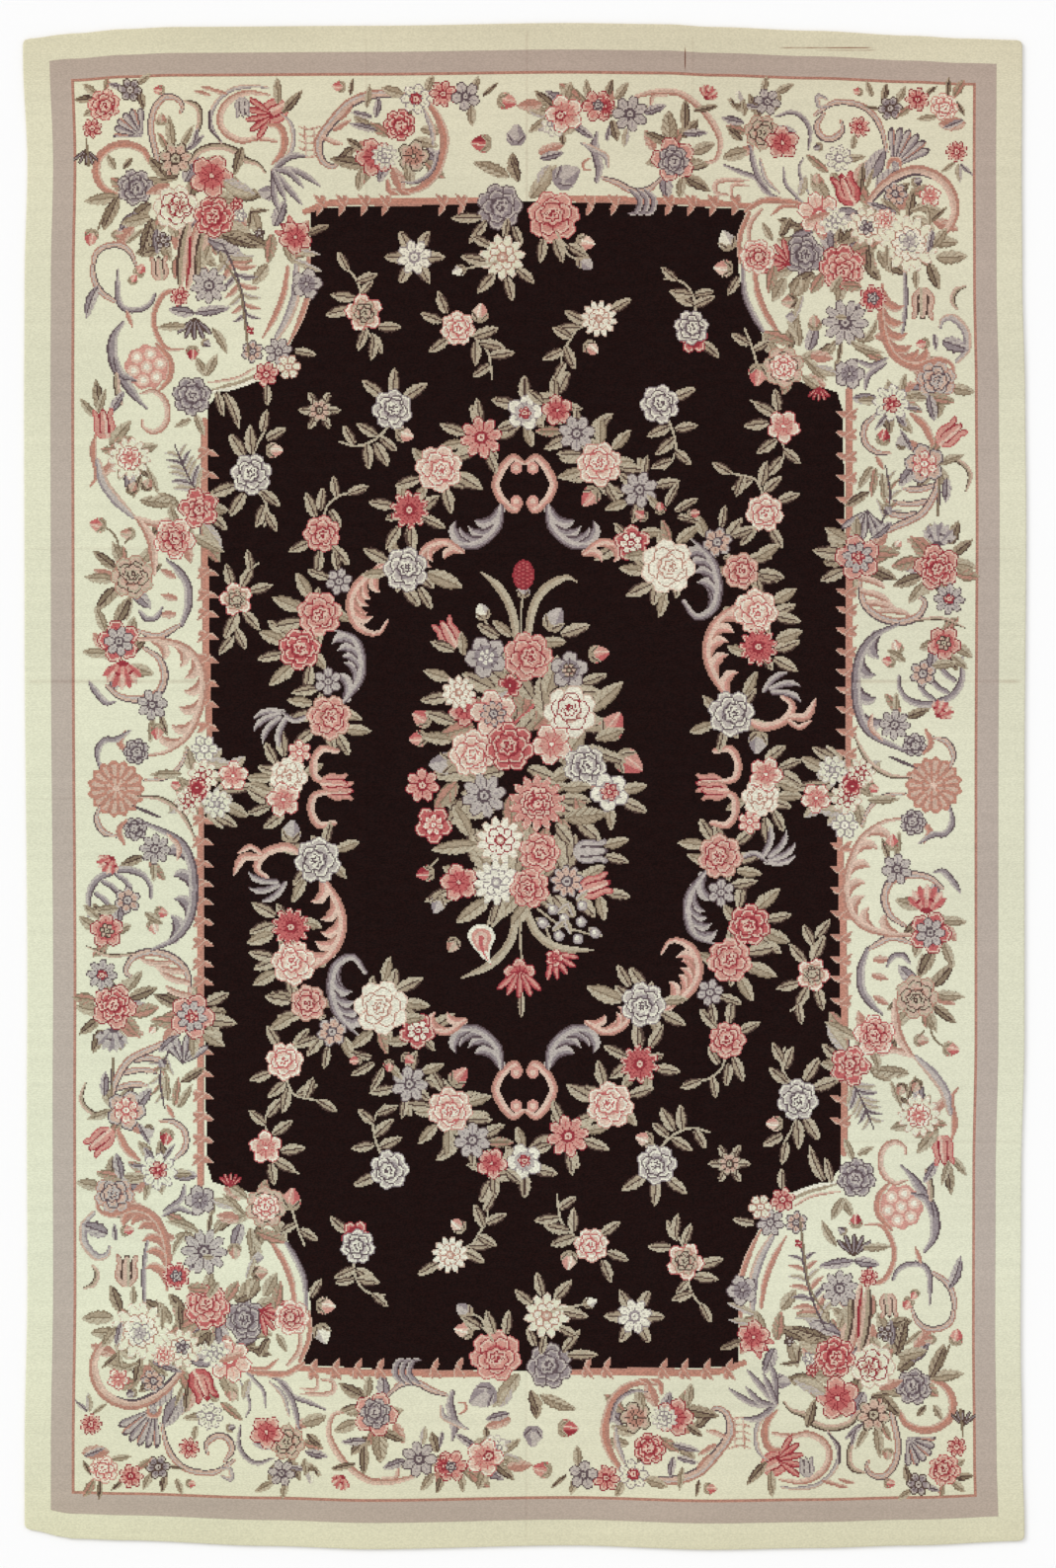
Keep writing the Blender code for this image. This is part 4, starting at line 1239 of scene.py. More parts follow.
# The flowers that bridge the ribbon in the middle of each long side, on both sides of the field
SIDE_MIDDLES = (
    ("mum", -57.8, 2.0, 2.9, 0, "peony", 9),
    ("azalea", -58.6, -0.9, 1.9, 0, "red"),
    ("azalea", -52.4, 2.0, 2.7, 30, "pink"),
    ("mum", 60.6, 2.6, 2.5, 0, "peony", 9),
    ("mum", 55.4, 3.0, 2.7, 0, "shell", 9),
    ("azalea", 59.0, 0.2, 1.8, 0, "red"),
)


# Stems of the loose sprays in the field, each a short run of places
FIELD_STEMS = (
    ((-5.0, 94.6), (-8.4, 93.8), (-11.2, 93.2)),
    ((5.6, 100.0), (7.4, 97.6), (10.2, 97.8)),
    ((6.4, 98.6), (8.0, 95.8), (10.4, 94.8)),
    ((-28.9, 86.0), (-29.6, 89.6), (-31.0, 92.4), (-32.8, 93.6)),
    ((-28.9, 84.0), (-28.0, 81.6), (-26.4, 80.2)),
    ((-12.0, 82.0), (-9.4, 81.2), (-6.6, 78.2), (-5.8, 73.4)),
    ((-23.8, 67.6), (-24.8, 64.6), (-27.2, 62.4), (-30.2, 61.4), (-33.4, 62.2)),
    ((-24.6, 65.2), (-22.4, 64.0)),
    ((-49.2, 57.6), (-48.4, 61.0), (-46.6, 64.4)),
    ((-48.8, 54.6), (-46.4, 50.6), (-46.8, 47.0)),
    ((-36.5, 46.6), (-35.6, 50.4), (-33.4, 52.4), (-31.0, 53.0)),
    ((-51.9, 34.6), (-50.2, 38.2), (-47.8, 40.4)),
    ((-51.9, 33.4), (-51.6, 29.4), (-52.8, 25.2)),
    ((13.2, 83.6), (9.8, 82.6), (8.0, 80.2), (6.7, 77.6), (7.0, 74.6)),
    ((30.0, 82.4), (30.7, 85.6), (30.2, 88.7), (28.3, 90.9), (25.2, 91.5)),
    ((24.3, 68.6), (25.9, 66.0), (27.1, 62.5), (26.9, 59.4), (25.0, 57.0)),
    ((42.0, 75.6), (41.0, 79.0), (39.6, 82.6)),
    ((46.6, 64.6), (44.0, 68.0), (40.6, 69.6)),
    ((46.4, 63.0), (46.6, 59.6), (44.8, 56.4)),
    ((43.2, 50.4), (42.7, 53.2), (41.4, 55.4), (38.6, 56.2), (35.4, 56.8)),
)
FIELD_SPRAYS = (
    ("star", -19.8, 95.4, 3.4, 0, "field_slate"),
    ("leaf", -7.0, 94.6, 4.6, 168, "night"),
    ("leaf", -5.4, 92.4, 4.6, 228, "night"),
    ("leaf", -3.2, 91.8, 4.4, 284, "night"),
    ("leaf", -1.4, 93.4, 4.2, 320, "night"),
    ("leaf", -6.2, 97.4, 4.0, 150, "night"),
    ("leaf", -3.6, 99.0, 3.6, 80, "night"),
    ("bud", -11.8, 93.0, 1.2, 200, "frost", "night"),
    ("leaf", 3.4, 98.8, 4.4, 262, "night"),
    ("leaf", 5.4, 98.6, 4.4, 290, "night"),
    ("bud", 10.9, 98.0, 1.7, -10, "pink", "night"),
    ("bud", 10.9, 94.4, 1.6, -40, "slate", "night"),
    ("leaf", 7.8, 97.6, 4.2, 330, "night"),
    ("leaf", -30.4, 88.0, 4.6, 172, "night"),
    ("leaf", -31.2, 86.2, 4.8, 195, "night"),
    ("leaf", -30.2, 91.0, 4.0, 20, "night"),
    ("leaf", -29.6, 88.6, 3.4, 48, "night"),
    ("leaf", -31.8, 93.0, 3.8, 118, "night"),
    ("leaf", -28.6, 82.4, 4.0, 250, "night"),
    ("leaf", -27.6, 81.6, 4.2, 300, "night"),
    ("leaf", -27.0, 80.8, 4.0, 262, "night"),
    ("leaf", -26.4, 82.8, 4.2, 0, "night"),
    ("azalea", -28.9, 85.4, 3.4, 30, "field_coral"),
    ("rose", -28.9, 85.4, 2.4, 30, "tan"),
    ("leaf", -14.0, 85.2, 4.4, 112, "night"),
    ("leaf", -14.8, 83.8, 4.2, 160, "night"),
    ("leaf", -13.6, 80.8, 4.4, 215, "night"),
    ("leaf", -9.2, 81.0, 4.8, 20, "night"),
    ("leaf", -8.0, 80.0, 4.6, -12, "night"),
    ("leaf", -8.8, 80.2, 4.4, 270, "night"),
    ("leaf", -6.2, 77.6, 4.4, 8, "night"),
    ("leaf", -6.2, 76.0, 3.8, 215, "night"),
    ("bud", -8.0, 85.4, 1.7, 82, "pink", "night"),
    ("rose", -12.0, 82.6, 3.0, 60, "pink"),
    ("star", -36.9, 67.8, 2.4, 0, "rose"),
    ("leaf", -23.6, 70.6, 4.8, 88, "night"),
    ("leaf", -25.4, 70.2, 4.8, 142, "night"),
    ("leaf", -21.8, 70.0, 5.0, 32, "night"),
    ("leaf", -26.4, 63.2, 4.4, 150, "night"),
    ("leaf", -26.0, 63.0, 4.0, 320, "night"),
    ("leaf", -28.4, 61.8, 4.6, 275, "night"),
    ("leaf", -27.0, 62.0, 5.0, 300, "night"),
    ("leaf", -30.6, 61.6, 4.0, 120, "night"),
    ("bud", -21.6, 63.4, 1.6, -15, "pink", "night"),
    ("rose", -23.8, 68.0, 3.5, 110, "moon"),
    ("leaf", -49.2, 60.0, 5.2, 92, "night"),
    ("leaf", -50.4, 59.4, 5.0, 122, "night"),
    ("leaf", -46.6, 62.6, 4.2, 28, "night"),
    ("leaf", -47.2, 64.0, 4.0, 78, "night"),
    ("bud", -45.0, 60.6, 1.5, 0, "pink", "night"),
    ("leaf", -51.8, 54.4, 5.2, 200, "night"),
    ("leaf", -50.4, 53.0, 5.0, 238, "night"),
    ("leaf", -47.4, 53.4, 4.4, 320, "night"),
    ("leaf", -46.8, 50.8, 4.4, 250, "night"),
    ("leaf", -46.6, 49.6, 4.2, 300, "night"),
    ("rose", -49.2, 56.3, 3.6, 190, "moon"),
    ("leaf", -37.6, 48.6, 4.8, 112, "night"),
    ("leaf", -36.8, 49.8, 4.2, 82, "night"),
    ("leaf", -35.0, 50.0, 3.8, 300, "night"),
    ("leaf", -33.8, 52.2, 3.8, 100, "night"),
    ("leaf", -31.8, 52.8, 4.0, 20, "night"),
    ("leaf", -38.4, 44.2, 4.4, 205, "night"),
    ("leaf", -36.8, 42.6, 4.4, 262, "night"),
    ("leaf", -34.6, 43.4, 4.6, 312, "night"),
    ("rose", -36.5, 45.6, 3.2, 0, "coral"),
    ("leaf", -51.0, 36.0, 4.6, 62, "night"),
    ("leaf", -52.6, 36.0, 4.4, 105, "night"),
    ("leaf", -49.6, 35.2, 4.4, 15, "night"),
    ("leaf", -49.2, 39.0, 3.8, 100, "night"),
    ("leaf", -50.6, 31.6, 4.4, 312, "night"),
    ("leaf", -52.0, 31.0, 4.8, 245, "night"),
    ("leaf", -52.0, 28.6, 4.2, 295, "night"),
    ("leaf", -52.6, 27.0, 4.0, 232, "night"),
    ("azalea", -51.9, 33.8, 3.0, 0, "field_coral"),
    ("rose", -51.9, 33.8, 2.0, 0, "tan"),
    ("leaf", 11.0, 83.6, 4.4, 152, "night"),
    ("leaf", 10.0, 82.8, 4.4, 184, "night"),
    ("leaf", 8.4, 80.8, 4.0, 150, "night"),
    ("leaf", 7.0, 78.6, 4.2, 205, "night"),
    ("leaf", 7.4, 79.2, 4.4, 292, "night"),
    ("leaf", 7.2, 76.4, 3.8, 240, "night"),
    ("leaf", 15.6, 85.8, 4.2, 30, "night"),
    ("bud", 12.0, 79.0, 1.5, -35, "pink", "night"),
    ("mum", 13.4, 84.3, 3.3, 0, "blush", 12),
    ("leaf", 30.4, 86.6, 4.2, 25, "night"),
    ("leaf", 30.4, 86.8, 4.4, 150, "night"),
    ("leaf", 30.2, 88.6, 4.2, 172, "night"),
    ("leaf", 30.6, 88.6, 3.6, 12, "night"),
    ("leaf", 27.4, 91.2, 3.6, 140, "night"),
    ("leaf", 32.0, 80.2, 4.2, 318, "night"),
    ("azalea", 30.4, 80.6, 2.6, 90, "red"),
    ("rose", 30.0, 82.7, 3.0, 45, "moon"),
    ("leaf", 27.0, 64.4, 4.2, 10, "night"),
    ("leaf", 26.2, 65.0, 4.6, 205, "night"),
    ("leaf", 27.0, 62.8, 4.6, 222, "night"),
    ("leaf", 27.0, 60.6, 4.0, 320, "night"),
    ("leaf", 26.6, 58.8, 4.0, 200, "night"),
    ("leaf", 26.6, 69.8, 4.6, 25, "night"),
    ("rose", 24.3, 68.9, 3.4, 80, "moon"),
    ("leaf", 40.6, 79.6, 4.0, 150, "night"),
    ("leaf", 41.2, 78.6, 3.6, 30, "night"),
    ("bud", 42.0, 74.2, 2.0, 262, "coral", "night"),
    ("leaf", 45.2, 67.0, 4.6, 150, "night"),
    ("leaf", 44.0, 65.6, 4.6, 188, "night"),
    ("leaf", 45.8, 67.6, 4.2, 100, "night"),
    ("leaf", 45.4, 62.6, 4.4, 215, "night"),
    ("leaf", 46.6, 60.8, 4.0, 320, "night"),
    ("leaf", 46.4, 59.4, 4.4, 230, "night"),
    ("azalea", 46.6, 64.9, 3.0, 0, "field_coral"),
    ("leaf", 42.6, 54.2, 4.6, 78, "night"),
    ("leaf", 43.0, 53.0, 4.4, 42, "night"),
    ("leaf", 41.0, 55.4, 4.2, 205, "night"),
    ("leaf", 39.4, 56.0, 4.0, 250, "night"),
    ("leaf", 37.2, 56.4, 4.0, 150, "night"),
    ("leaf", 45.6, 51.4, 4.2, 20, "night"),
    ("leaf", 41.6, 47.0, 4.4, 232, "night"),
    ("leaf", 44.2, 46.8, 4.4, 300, "night"),
    ("rose", 43.2, 49.4, 3.3, 0, "pink"),
)


def work_wreath_scrolls():
    """The acanthus scrolls and the pink horseshoes of the wreath."""
    for side in (-1, 1):
        band([(0.4 * side, 58.4), (2.2 * side, 59.3), (4.1 * side, 57.2), (5.2 * side, 54.4),
              (4.0 * side, 51.6), (1.8 * side, 49.8), (0.7 * side, 51.2)], 1.5, "field_pink",
             ends=(0.7, 0.7), flip=side > 0)
        for y in (57.4, 51.4):
            knob = Spot(1.5 * side, y, 1.4)
            knob.paint(knob.r < 1.05, "salmon")
            knob.paint(knob.r < 0.5, "blush")
        acanthus([(4.2 * side, 50.6), (5.0 * side, 46.6), (8.6 * side, 43.6), (13.6 * side, 43.6)], 1.9,
                 "field_slate", 4, side, 4.2, stop=0.75)
    acanthus([(-11.0, 42.2), (-14.2, 44.2), (-17.4, 43.4), (-19.4, 41.0)], 1.5, "field_pink", 4, 1, 2.8)
    acanthus([(10.6, 42.0), (14.0, 44.2), (17.2, 43.4)], 1.5, "field_pink", 3, -1, 2.8)
    acanthus([(-25.4, 40.0), (-29.4, 37.3), (-31.4, 33.8), (-30.9, 30.2), (-28.7, 28.0), (-26.2, 27.8),
              (-24.6, 30.0)], 1.8, "field_pink", 5, 1, 3.6, stop=0.5)
    acanthus([(-32.4, 15.4), (-29.6, 19.4), (-29.2, 23.1), (-30.6, 26.7), (-34.0, 28.2)], 1.8,
             "field_slate", 5, 1, 3.8, stop=0.7)
    acanthus([(28.6, 33.4), (31.0, 30.6), (34.2, 32.4), (34.9, 36.9), (33.4, 41.4), (30.0, 44.6)], 1.9,
             "field_slate", 5, 1, 3.8, start=0.3, stop=0.8)
    acanthus([(36.6, 15.8), (33.3, 21.6), (32.9, 26.2), (35.0, 30.3), (39.2, 33.4)], 1.9, "field_pink", 5,
             -1, 3.8, stop=0.75)
    band([(39.6, 12.4), (43.0, 10.8), (46.8, 12.0), (48.2, 14.6), (46.4, 16.4)], 1.6, "field_pink",
         ends=(0.4, 0.5))
    band([(48.0, 12.6), (50.8, 12.8), (52.4, 15.8)], 1.5, "field_pink", ends=(0.7, 0.2))
    band([(47.4, 12.0), (49.4, 10.8), (51.8, 12.0)], 1.0, "field_pink", ends=(0.7, 0.2))
    for x in (-36.0, 36.4):
        side = 1 if x > 0 else -1
        band([(x - 2.2 * side, 6.5), (x + 0.6 * side, 6.8), (x + 2.0 * side, 4.4), (x + 1.5 * side, 1.6),
              (x - 1.0 * side, 0.9)], 1.4, "field_pink", ends=(0.7, 0.7), flip=side > 0)
    for x, y, turn in ((-43.4, 13.4, 168), (-44.2, 13.0, 190), (-44.0, 12.4, 212), (-43.0, 12.2, 236)):
        claw(x, y, 4.6, turn, 40, "field_slate", 1.2)
    band([(-38.6, 13.0), (-41.4, 12.0), (-43.8, 13.6)], 1.0, "field_slate")
    for x, y, turn in ((43.2, 17.4, 60), (44.4, 17.6, 30), (44.8, 17.0, 5)):
        claw(x, y, 4.4, turn, -40, "field_slate", 1.2)


WREATH = (
    ("leaf", 0.0, 69.6, 4.6, 90, "night", 0.31),
    ("leaf", -1.8, 68.8, 4.2, 168, "night", 0.31),
    ("leaf", -2.6, 64.8, 4.0, 205, "night", 0.28),
    ("leaf", -4.8, 64.4, 4.2, 20, "night", 0.28),
    ("leaf", -8.0, 65.6, 4.4, 98, "night", 0.28),
    ("leaf", -10.6, 63.6, 5.0, 160, "night", 0.26),
    ("leaf", -11.0, 62.0, 4.4, 190, "khaki", 0.26),
    ("leaf", -6.6, 60.2, 4.2, 292, "night", 0.28),
    ("leaf", -12.8, 59.0, 4.8, 20, "night", 0.26),
    ("leaf", -12.4, 56.4, 5.6, 330, "night", 0.31),
    ("leaf", -18.8, 55.6, 4.8, 198, "night", 0.28),
    ("leaf", -17.6, 54.2, 4.6, 232, "khaki", 0.26),
    ("leaf", -14.4, 54.0, 5.0, 285, "night", 0.28),
    ("leaf", -18.4, 48.6, 4.6, 335, "night", 0.26),
    ("leaf", -23.4, 50.6, 4.8, 172, "night", 0.28),
    ("leaf", -22.4, 47.0, 5.0, 238, "night", 0.26),
    ("leaf", -20.4, 47.2, 4.6, 272, "night", 0.26),
    ("leaf", -24.6, 40.6, 5.0, 152, "night", 0.28),
    ("leaf", -24.8, 38.6, 4.6, 186, "khaki", 0.26),
    ("leaf", -17.6, 38.6, 7.0, -22, "khaki", 0.26),
    ("leaf", -19.0, 36.0, 4.6, 300, "night", 0.26),
    ("azalea", 0.0, 67.4, 3.2, 90, "frost"),
    ("daisy", 0.0, 67.3, 1.2, 0, "red", 5, 0.5),
    ("daisy", -7.8, 62.9, 3.9, 10, "coral", 8, 0.24),
    ("rose", -15.4, 57.3, 4.1, 20, "pink"),
    ("daisy", -20.7, 49.9, 3.6, 30, "red", 10, 0.22),
    ("rose", -21.4, 39.2, 3.9, 110, "moon"),
    ("daisy", -33.4, 37.0, 2.5, 0, "slate", 6, 0.34),
    ("leaf", -33.6, 39.0, 3.8, 100, "night", 0.26),
    ("leaf", -35.2, 37.6, 4.2, 160, "night", 0.26),
    ("leaf", -38.6, 34.0, 5.2, 118, "khaki", 0.28),
    ("leaf", -40.2, 32.0, 5.6, 158, "khaki", 0.28),
    ("leaf", -39.8, 29.8, 5.8, 190, "night", 0.26),
    ("leaf", -43.0, 26.0, 5.2, 158, "khaki", 0.28),
    ("leaf", -43.4, 24.0, 4.8, 192, "night", 0.26),
    ("leaf", -42.0, 21.8, 5.2, 222, "khaki", 0.28),
    ("leaf", -38.6, 21.8, 4.8, 262, "night", 0.28),
    ("leaf", -37.2, 17.8, 4.8, 190, "night", 0.26),
    ("leaf", -38.2, 15.0, 4.6, 172, "khaki", 0.26),
    ("leaf", -32.4, 10.4, 4.8, -4, "khaki", 0.28),
    ("leaf", -33.8, 9.6, 4.6, 300, "night", 0.28),
    ("leaf", -37.8, 10.4, 5.0, 218, "night", 0.26),
    ("rose", -36.9, 31.2, 3.9, 0, "coral"),
    ("rose", -40.5, 24.8, 3.7, 90, "red"),
    ("daisy", -35.4, 19.0, 2.6, 0, "slate", 6, 0.3),
    ("rose", -35.2, 12.5, 3.9, 40, "brick"),
    ("daisy", -40.5, 6.3, 2.2, 0, "pink", 6, 0.3),
    ("leaf", -44.6, 4.0, 4.6, 118, "night", 0.26),
    ("leaf", -45.4, 1.6, 4.6, 180, "khaki", 0.28),
    ("leaf", -44.2, -0.6, 4.6, 232, "night", 0.26),
    ("rose", -42.5, 1.9, 3.3, 0, "pearl"),
    ("tulip", -33.2, -0.7, 2.5, 0, "brick"),
    ("leaf", 3.6, 68.8, 4.2, 140, "night", 0.28),
    ("leaf", 5.6, 69.8, 4.2, 96, "night", 0.28),
    ("azalea", 5.9, 67.8, 2.8, 30, "coral"),
    ("leaf", 6.6, 64.0, 4.6, 180, "tan", 0.26),
    ("leaf", 12.0, 64.0, 5.0, 40, "night", 0.28),
    ("leaf", 11.6, 61.2, 4.6, 330, "night", 0.26),
    ("daisy", 9.4, 63.6, 3.4, 0, "slate", 7, 0.26),
    ("leaf", 13.6, 61.6, 5.0, 88, "khaki", 0.28),
    ("leaf", 15.8, 60.8, 4.8, 46, "khaki", 0.26),
    ("leaf", 16.8, 57.6, 4.8, -6, "night", 0.28),
    ("leaf", 10.2, 59.8, 4.4, 178, "night", 0.26),
    ("leaf", 10.6, 57.0, 4.8, 196, "khaki", 0.26),
    ("leaf", 14.6, 54.8, 4.6, 300, "night", 0.26),
    ("rose", 13.4, 58.1, 3.9, 150, "pink"),
    ("leaf", 23.4, 54.2, 4.6, 12, "night", 0.26),
    ("leaf", 21.4, 56.0, 3.8, 80, "night", 0.26),
    ("leaf", 18.6, 51.4, 4.4, 200, "khaki", 0.26),
    ("daisy", 20.7, 53.5, 3.4, 10, "slate", 7, 0.28),
    ("bud", 11.8, 52.2, 1.9, 230, "coral", "night"),
    ("leaf", 25.4, 50.6, 5.0, 62, "night", 0.20),
    ("leaf", 27.0, 49.6, 5.0, 30, "night", 0.20),
    ("leaf", 27.4, 48.8, 4.6, -14, "night", 0.20),
    ("leaf", 24.8, 49.4, 4.2, 130, "khaki", 0.23),
    ("bud", 24.4, 50.2, 1.1, 90, "coral", "night"),
    ("bud", 21.0, 48.9, 1.2, 150, "coral", "night"),
    ("bud", 30.4, 49.2, 1.1, 10, "coral", "night"),
    ("azalea", 19.4, 43.9, 3.3, 60, "red"),
    ("daisy", 19.2, 43.9, 2.2, 0, "white", 7, 0.3),
    ("leaf", 27.4, 44.0, 5.0, 38, "khaki", 0.26),
    ("leaf", 22.4, 42.0, 4.6, 188, "khaki", 0.26),
    ("leaf", 21.8, 38.8, 4.8, 172, "khaki", 0.28),
    ("leaf", 23.0, 36.6, 5.2, 205, "night", 0.28),
    ("leaf", 25.4, 35.0, 4.6, 255, "khaki", 0.26),
    ("leaf", 26.2, 44.0, 4.4, 110, "tan", 0.26),
    ("rose", 25.8, 39.7, 4.7, 40, "pearl"),
    ("leaf", 37.4, 45.2, 4.6, 20, "night", 0.26),
    ("leaf", 35.4, 46.8, 4.0, 80, "night", 0.26),
    ("daisy", 34.7, 44.1, 2.8, 0, "mauve", 6, 0.34),
    ("leaf", 41.6, 41.2, 5.0, 30, "khaki", 0.28),
    ("leaf", 42.0, 38.6, 5.0, -10, "night", 0.28),
    ("rose", 38.9, 38.9, 3.2, 60, "brick"),
    ("leaf", 44.6, 33.2, 5.0, 30, "khaki", 0.28),
    ("leaf", 45.0, 30.8, 4.8, -12, "night", 0.28),
    ("rose", 41.6, 31.7, 3.9, 20, "pink"),
    ("leaf", 45.2, 26.4, 5.2, 20, "khaki", 0.28),
    ("leaf", 44.8, 23.2, 5.0, -28, "night", 0.28),
    ("daisy", 42.1, 25.2, 3.6, 30, "red", 11, 0.22),
    ("leaf", 39.6, 16.6, 4.8, 62, "khaki", 0.26),
    ("leaf", 34.0, 11.4, 4.6, 200, "khaki", 0.26),
    ("leaf", 36.0, 10.4, 4.4, 255, "night", 0.26),
    ("rose", 37.2, 13.2, 4.0, 60, "moon"),
    ("bud", 42.0, 8.0, 2.0, 262, "slate", "night"),
    ("leaf", 45.8, 3.4, 4.4, 20, "night", 0.26),
    ("leaf", 45.6, 0.8, 4.4, -20, "khaki", 0.26),
    ("azalea", 43.4, 2.3, 3.1, 0, "pink"),
    ("tulip", 34.2, -0.7, 2.5, 180, "brick"),
)


# The bouquet in the middle of the field, worked once
BOUQUET_STEMS = (
    ((0.0, 36.0), (-0.6, 32.0), (-0.6, 27.0)),
    ((-7.6, 31.0), (-6.6, 29.0), (-5.4, 26.6)),
    ((-13.2, 27.0), (-11.8, 25.4), (-9.6, 22.6)),
    ((-0.8, -23.0), (-0.8, -27.6), (-0.4, -31.6)),
    ((-0.8, -33.0), (-0.4, -41.0)),
    ((-5.8, -22.0), (-7.0, -26.0)),
    ((2.4, -22.0), (6.4, -24.8), (12.0, -26.6)),
    ((3.2, -23.8), (5.4, -29.4)),
    ((-15.6, -13.0), (-17.8, -15.2)),
    ((-11.0, -19.4), (-15.0, -21.0)),
)
BOUQUET = (
    ("leaf", 6.4, 27.4, 5.6, 18, "night", 0.26),
    ("leaf", 2.6, 26.0, 5.0, 2, "khaki", 0.26),
    ("leaf", -4.6, 27.0, 4.6, 150, "night", 0.26),
    ("leaf", -2.4, 27.2, 4.4, 140, "khaki", 0.26),
    ("bud", -0.2, 35.4, 1.3, 90, "slate", "night"),
    ("raspberry", -0.2, 38.2, 2.7, 90, "red"),
    ("bud", -7.6, 31.6, 1.5, 108, "frost", "night"),
    ("bud", 5.4, 30.2, 2.2, 62, "slate", "night"),
    ("tulip", -13.8, 27.6, 2.9, 118, "coral"),
    ("leaf", -12.6, 24.6, 4.6, 160, "night", 0.26),
    ("leaf", -11.0, 23.8, 4.2, 95, "khaki", 0.26),
    ("leaf", -13.4, 19.4, 5.0, 162, "khaki", 0.28),
    ("leaf", -13.6, 16.4, 5.2, 190, "night", 0.28),
    ("leaf", 10.2, 18.6, 5.0, 20, "night", 0.26),
    ("leaf", 11.4, 13.6, 8.2, 40, "khaki", 0.23),
    ("bud", 13.4, 24.0, 1.8, 8, "coral", "night"),
    ("azalea", -6.9, 23.4, 3.8, 20, "slate"),
    ("daisy", -6.9, 23.4, 1.6, 0, "frost", 6, 0.3),
    ("rose", 0.6, 23.5, 4.3, 30, "coral"),
    ("azalea", 8.0, 21.0, 3.4, 60, "slate"),
    ("daisy", 8.0, 21.0, 1.4, 0, "tan", 6, 0.34),
    ("azalea", -10.8, 13.8, 2.9, 90, "coral"),
    ("mum", -11.8, 17.0, 3.1, 0, "blush", 11),
    ("azalea", -2.6, 18.2, 2.2, 0, "red"),
    ("leaf", -3.0, 17.4, 4.6, 190, "pale", 0.31),
    ("azalea", -5.6, 13.2, 4.2, 10, "pink"),
    ("daisy", -5.6, 13.2, 2.4, 0, "mauve", 8, 0.36),
    ("bud", -18.5, 12.4, 1.8, 150, "coral", "night"),
    ("bud", -19.2, 8.7, 1.6, 186, "coral", "night"),
    ("bud", -14.9, 4.2, 2.2, 186, "slate", "night"),
    ("leaf", -13.0, 8.4, 5.6, 172, "khaki", 0.26),
    ("leaf", -12.6, 11.6, 5.6, 160, "night", 0.26),
    ("rose", 8.2, 13.5, 4.6, 160, "white"),
    ("bud", 15.8, 11.0, 2.6, 58, "coral", "night"),
    ("bud", 18.9, 4.4, 2.6, -32, "coral", "night"),
    ("leaf", 12.8, 8.6, 5.6, 20, "khaki", 0.26),
    ("leaf", 13.4, 6.2, 5.2, -20, "night", 0.26),
    ("azalea", 4.9, 7.7, 3.7, 40, "pink"),
    ("rose", 10.9, 3.7, 3.7, 70, "moon"),
    ("rose", -9.4, 6.1, 4.1, 0, "pink"),
    ("rose", -2.7, 7.2, 4.3, 200, "red"),
    ("daisy", -18.4, 0.3, 3.2, 0, "coral", 7, 0.26),
    ("leaf", -9.8, -8.8, 6.4, 118, "khaki", 0.26),
    ("leaf", -8.4, -10.4, 8.4, 186, "khaki", 0.20),
    ("veined", 7.2, -5.6, 7.8, 6, "khaki", 0.26),
    ("leaf", 5.6, -6.6, 5.2, -52, "night", 0.28),
    ("leaf", 7.0, -0.2, 5.0, 5, "khaki", 0.28),
    ("leaf", 17.4, -0.6, 4.8, 10, "khaki", 0.28),
    ("leaf", 17.4, -2.4, 5.2, -24, "night", 0.28),
    ("leaf", 15.4, -3.6, 4.2, 272, "khaki", 0.28),
    ("daisy", -7.3, -1.6, 4.1, 0, "slate", 8, 0.26),
    ("mum", 2.2, -2.9, 5.1, 0, "coral", 14),
    ("rose", 2.2, -2.9, 2.4, 0, "red"),
    ("azalea", 15.3, -0.9, 3.5, 0, "frost"),
    ("daisy", 15.3, -0.9, 1.7, 0, "coral", 6, 0.3),
    ("azalea", -16.4, -6.8, 3.4, 36, "red"),
    ("daisy", -16.4, -6.8, 2.0, 0, "pink", 7, 0.3),
    ("mum", -4.4, -9.6, 4.3, 0, "white", 12),
    ("rose", 2.7, -11.9, 3.6, 100, "coral"),
    ("leaf", 14.2, -10.6, 4.8, 14, "khaki", 0.26),
    ("leaf", 14.4, -12.4, 4.6, -14, "night", 0.26),
    ("tulip", 11.9, -11.6, 3.1, 2, "slate"),
    ("leaf", 13.4, -19.6, 4.6, 282, "khaki", 0.28),
    ("leaf", 14.6, -19.0, 4.6, -10, "night", 0.28),
    ("tulip", 12.7, -17.9, 3.0, 18, "coral"),
    ("leaf", -6.4, -20.2, 7.4, 216, "khaki", 0.23),
    ("leaf", -4.0, -20.0, 5.6, 250, "night", 0.26),
    ("leaf", -13.6, -18.6, 4.8, 205, "night", 0.26),
    ("daisy", 7.6, -17.0, 3.1, 0, "mauve", 9, 0.36),
    ("mum", -5.1, -17.2, 4.1, 0, "frost", 12),
    ("azalea", -11.8, -17.2, 3.4, 20, "coral"),
    ("rose", 0.9, -18.2, 3.5, 250, "coral"),
    ("bud", -17.9, -15.6, 1.6, 190, "red", "night"),
    ("bud", -15.6, -21.2, 1.6, 250, "slate", "night"),
    ("paisley", -7.8, -27.2, 2.5, 262, "pink"),
    ("bud", -12.9, -28.5, 1.4, 240, "tan", "night"),
    ("leaf", -0.7, -36.6, 5.0, 272, "night", 0.16),
    ("azalea", -0.9, -33.8, 2.9, 268, "coral"),
    ("bell", -0.9, -35.0, 2.9, 268, "coral"),
    ("bell", 6.2, -31.6, 2.6, 305, "coral"),
    ("azalea", 5.4, -30.8, 1.7, 305, "coral"),
)
BOUQUET_BERRIES = ((5.1, -22.1), (7.1, -23.7), (10.2, -24.3), (12.7, -26.3), (6.2, -26.8), (9.6, -27.4),
                   (3.3, -24.5), (10.4, -21.4))


